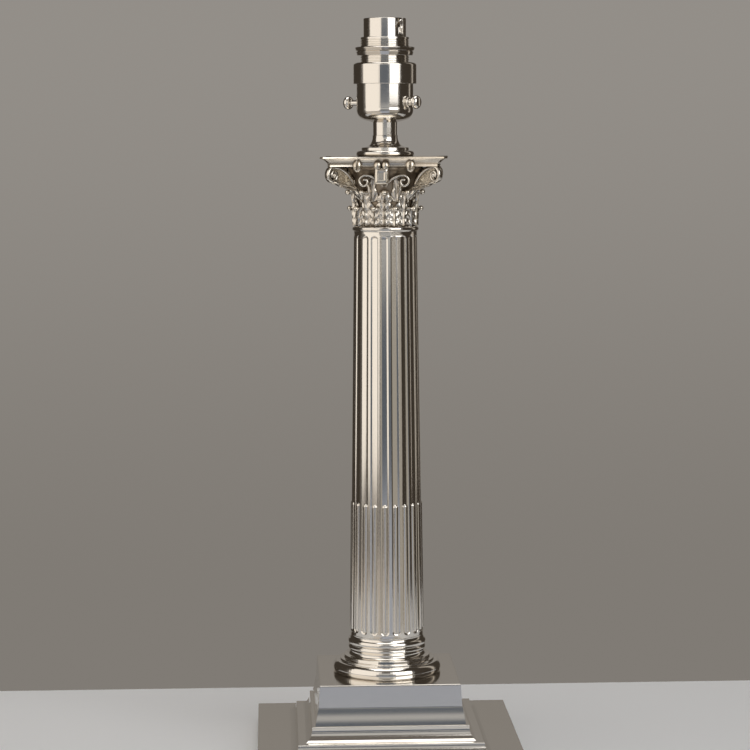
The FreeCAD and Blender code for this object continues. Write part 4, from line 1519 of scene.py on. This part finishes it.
@dataclass
class PushBar:
    """The knobs of the switch's push-bar, and the bushes that guide the bar."""

    height: float = 390.4
    angle: float = -35.0
    near_face: float = 19.2
    far_face: float = 23.4
    bush_face: float = 18.9
    bush_bore: float = 1.65
    knob_bore: float = 1.05
    knob_socket: float = 2.9
    knob_thickness: float = 4.4

    def lay(self, piece: Workpiece, start: float, flipped: bool) -> None:
        """Lays a piece that was turned about Z along the bar.

        Args:
            piece: The workpiece.
            start: Distance of its foot from the axis of the column.
            flipped: Whether it goes to the far end.
        """
        piece.turn(90.0, "Y")
        piece.move(start, 0, self.height)
        piece.turn(self.angle + (180.0 if flipped else 0.0))

    def build(self) -> None:
        """Builds and dresses a knob and a bush at each end."""
        high, inner, bore = self.knob_thickness, self.knob_socket, self.bush_bore
        for name, start, flipped in (("near", self.near_face, False), ("far", self.far_face, True)):
            knob = Workpiece.turned([
                (self.knob_bore, 0.0), (2.2, 0.0), (2.2, high, 1.75, 14), (0.0, high), (0.0, inner),
                (self.knob_bore, inner),
            ], 48)
            self.lay(knob, start, flipped)
            knob.finish("knob_" + name, Dress.PLATE, "switch_knob_" + name, "push_bar")
            bush = Workpiece.turned([
                (bore, 15.2), (3.2, 15.2), (3.2, 16.4), (3.3, 16.5, 0.1), (3.1, 17.3, 0.25),
                (2.1, 17.5, 0.1), (2.0, self.bush_face, 0.2), (bore, self.bush_face),
            ], 48, 3)
            self.lay(bush, 0.0, flipped)
            bush.finish("bush_" + name, Dress.PLATE, "switch_bush_" + name)


# ---------------------------------------------------------------- stage


@dataclass(frozen=True)
class Softbox:
    """One soft light that looks at the lamp, at an angle that goes from the front to the right."""

    name: str
    angle: float
    distance: float
    height: float
    size: Flat
    level: float
    colour: Place
    aim: float = 0.25

    def hang(self) -> None:
        """Hangs the light, whose level is 1 for white."""
        data = bpy.data.lights.new(self.name, "AREA")
        data.shape = "RECTANGLE"
        data.size, data.size_y = self.size
        data.energy = self.level * pi * self.size[0] * self.size[1]
        data.color = self.colour
        light = bpy.data.objects.new(self.name, data)
        turn = radians(self.angle)
        place = Vector((self.distance * sin(turn), -self.distance * cos(turn), self.height))
        way = (place - Vector((0, 0, self.aim))).to_track_quat("Z", "Y")
        light.matrix_world = Matrix.Translation(place) @ way.to_matrix().to_4x4()
        light.visible_camera = False
        bpy.context.scene.collection.objects.link(light)


SOFTBOXES = (
    Softbox("left_softbox", -56.0, 1.35, 0.75, (1.9, 1.7), 0.95, (1.0, 0.93, 0.84)),
    Softbox("left_low_softbox", -56.0, 1.36, -0.5, (1.9, 0.8), 0.42, (1.0, 0.89, 0.76)),
    Softbox("right_window", 33.0, 2.2, 1.2, (1.8, 1.75), 2.3, (1.0, 0.985, 0.96)),
    Softbox("right_low_softbox", 33.0, 2.21, -0.25, (1.8, 1.1), 0.22, (1.0, 0.93, 0.78)),
    Softbox("side_strip", 114.0, 1.6, 0.8, (0.30, 1.9), 0.45, (1.0, 0.91, 0.80)),
    Softbox("overhead", 0.0, 0.01, 2.4, (1.6, 1.6), 2.2, (1.0, 0.98, 0.95), aim=0.0),
)


@dataclass
class Studio:
    """The camera, the pale floor, the plain wall and the soft lights."""

    lens: float = 112.12
    camera_place: Place = (-0.0672, -1.3784, 0.3704)
    camera_pan: float = -0.0440
    camera_dip: float = 0.1016
    camera_roll: float = -0.004
    wall_top: Place = (0.292, 0.272, 0.248)
    wall_low: Place = (0.215, 0.198, 0.177)
    floor_colour: Place = (0.80, 0.82, 0.85)
    room_colour: Place = (0.048, 0.039, 0.030)
    warm_zone: Place = (0.15, 0.135, 0.12)
    warm_way: Place = (-0.375, -0.927, 0.0)
    front_low: Place = (0.385, 0.405, 0.455)
    front_pale: Place = (0.52, 0.51, 0.49)
    front_dark: Place = (0.09, 0.105, 0.13)
    table_back: float = 0.175
    table_reach: float = 0.30
    table_width: float = 1.1
    wall_size: Flat = (0.86, 1.1)
    wall_middle: Place = (0.033, 0.9, 0.25)
    front_size: Flat = (1.4, 2.6)
    front_middle: Place = (-0.15, -2.1, 0.1)

    def build(self) -> None:
        """Sets up the whole stage."""
        self.build_camera()
        self.build_floor()
        # the plain wall glows darker towards the bottom: painted falloff of light
        self.card("wall", self.wall_size, self.wall_middle, 90.0,
                  [(0.0, 0.0, self.wall_low), (-0.1, 0.5, self.wall_top)])
        self.card("front_card", self.front_size, self.front_middle, -90.0,
                  [(0.0, 0.0, self.front_low), (-0.13, -0.08, self.front_dark),
                   (0.18, 0.23, self.front_pale), (0.34, 0.38, self.front_dark),
                   (0.55, 0.62, self.front_pale)])
        self.build_world()
        for softbox in SOFTBOXES:
            softbox.hang()
        bpy.context.scene.view_settings.view_transform = "Standard"

    def build_camera(self) -> None:
        """Stands the camera where the photograph was taken from."""
        data = bpy.data.cameras.new("camera")
        data.lens = self.lens
        data.sensor_width = 36.0
        data.clip_end = 20.0
        camera = bpy.data.objects.new("camera", data)
        camera.matrix_world = (
            Matrix.Translation(self.camera_place)
            @ Matrix.Rotation(self.camera_pan, 4, "Z")
            @ Matrix.Rotation(radians(90.0) - self.camera_dip, 4, "X")
            @ Matrix.Rotation(self.camera_roll, 4, "Z")
        )
        bpy.context.scene.collection.objects.link(camera)
        bpy.context.scene.camera = camera

    def sheet(self, name: str, size: Flat, middle: Place, tilt: float) -> NodeBench:
        """Puts up a flat sheet of the stage, with a new material.

        Args:
            name: The name of both.
            size: Width and height.
            middle: The place of its middle.
            tilt: Degrees that it is turned about X, from lying on its back.

        Returns:
            The bench with the material's nodes.
        """
        clear_bench()
        bpy.ops.mesh.primitive_plane_add(size=1.0, rotation=(radians(tilt), 0, 0))
        sheet = bpy.context.object
        sheet.name = name
        sheet.scale = (*size, 1.0)
        sheet.location = middle
        made = bpy.data.materials.new(name)
        made.use_nodes = True
        sheet.data.materials.append(made)
        return NodeBench(made.node_tree)

    def build_floor(self) -> None:
        """Lays the pale table top, which ends a little behind the lamp."""
        size = (self.table_width, self.table_reach + self.table_back)
        middle = (0.0, (self.table_back - self.table_reach) / 2, 0.0)
        bench = self.sheet("floor", size, middle, 0.0)
        bpy.ops.object.transform_apply(location=True, rotation=False, scale=True)
        bench.feed(Base_Color=self.floor_colour, Roughness=0.6, Specular_IOR_Level=0.2)

    def card(self, name: str, size: Flat, middle: Place, tilt: float,
             bands: Sequence[tuple[float, float, Place]]) -> None:
        """Hangs a card that shines evenly, and is clear when seen from its back.

        Args:
            name: Its name.
            size: Width and height.
            middle: The place of its middle.
            tilt: Degrees that it is turned about X, from lying on its back.
            bands: Its colours going up, each with the heights where it starts and is full.
        """
        bench = self.sheet(name, size, middle, tilt)
        space = bench.add("NewGeometry").outputs
        height = bench.add("SeparateXYZ", {0: space["Position"]}).outputs["Z"]
        colour: Socket | Place = bands[0][2]
        for start, full, band in bands[1:]:
            colour = bench.blend(bench.spread(height, start, full), colour, band)
        glow = bench.add("Emission", {"Color": colour}).outputs[0]
        clear = bench.add("BsdfTransparent").outputs[0]
        mix = bench.add("MixShader", {0: space["Backfacing"], 1: glow, 2: clear}).outputs[0]
        bench.put(bench.tree.nodes["Material Output"].inputs[0], mix)

    def build_world(self) -> None:
        """Fills the room with dim warm light, paler on the camera's side."""
        world = bpy.data.worlds.new("room")
        bpy.context.scene.world = world
        world.use_nodes = True
        bench = NodeBench(world.node_tree)
        way = bench.add("TexCoord").outputs["Generated"]
        towards = bench.add("VectorMath", {0: way, 1: self.warm_way}, operation="DOT_PRODUCT")
        zone = bench.spread(towards.outputs["Value"], 0.15, 0.30)
        bench.put(bench.tree.nodes["Background"].inputs["Color"],
                  bench.blend(zone, self.room_colour, self.warm_zone))


# ---------------------------------------------------------------- the whole lamp

CARRIED: dict[str, Dress] = {
    "base_weight": Dress.IRON,
    "felt_pad": Dress.BAIZE,
    "cord_bush": Dress.BLACK,
    "centre_tube": Dress.BRASS,
    "rod_fasteners": Dress.STEEL,
    "insulator": Dress.CERAMIC,
    "terminal_pillars": Dress.BRASS,
    "earth_terminal": Dress.BRASS,
    "switch_bar": Dress.PLATE,
    "switch_carriage": Dress.BLACK,
    "contact_plunger_a": Dress.BRASS,
    "contact_plunger_b": Dress.BRASS,
    "contact_spring_a": Dress.STEEL,
    "contact_spring_b": Dress.STEEL,
}


def main() -> None:
    """Builds the stage and all pieces of the lamp in order."""
    logging.basicConfig(level=logging.INFO)
    Studio().build()
    for assembly in (SteppedBase(), FlutedColumn(), Capital(), Abacus(), CapAndNeck(), Lampholder(),
                     ShadeRing(), PushBar()):
        assembly.build()
    for name, dress in CARRIED.items():
        dress.value.wear_on(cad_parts[name])
        log.info("%s: kept from the frame", name)


if __name__ == "__main__":
    main()
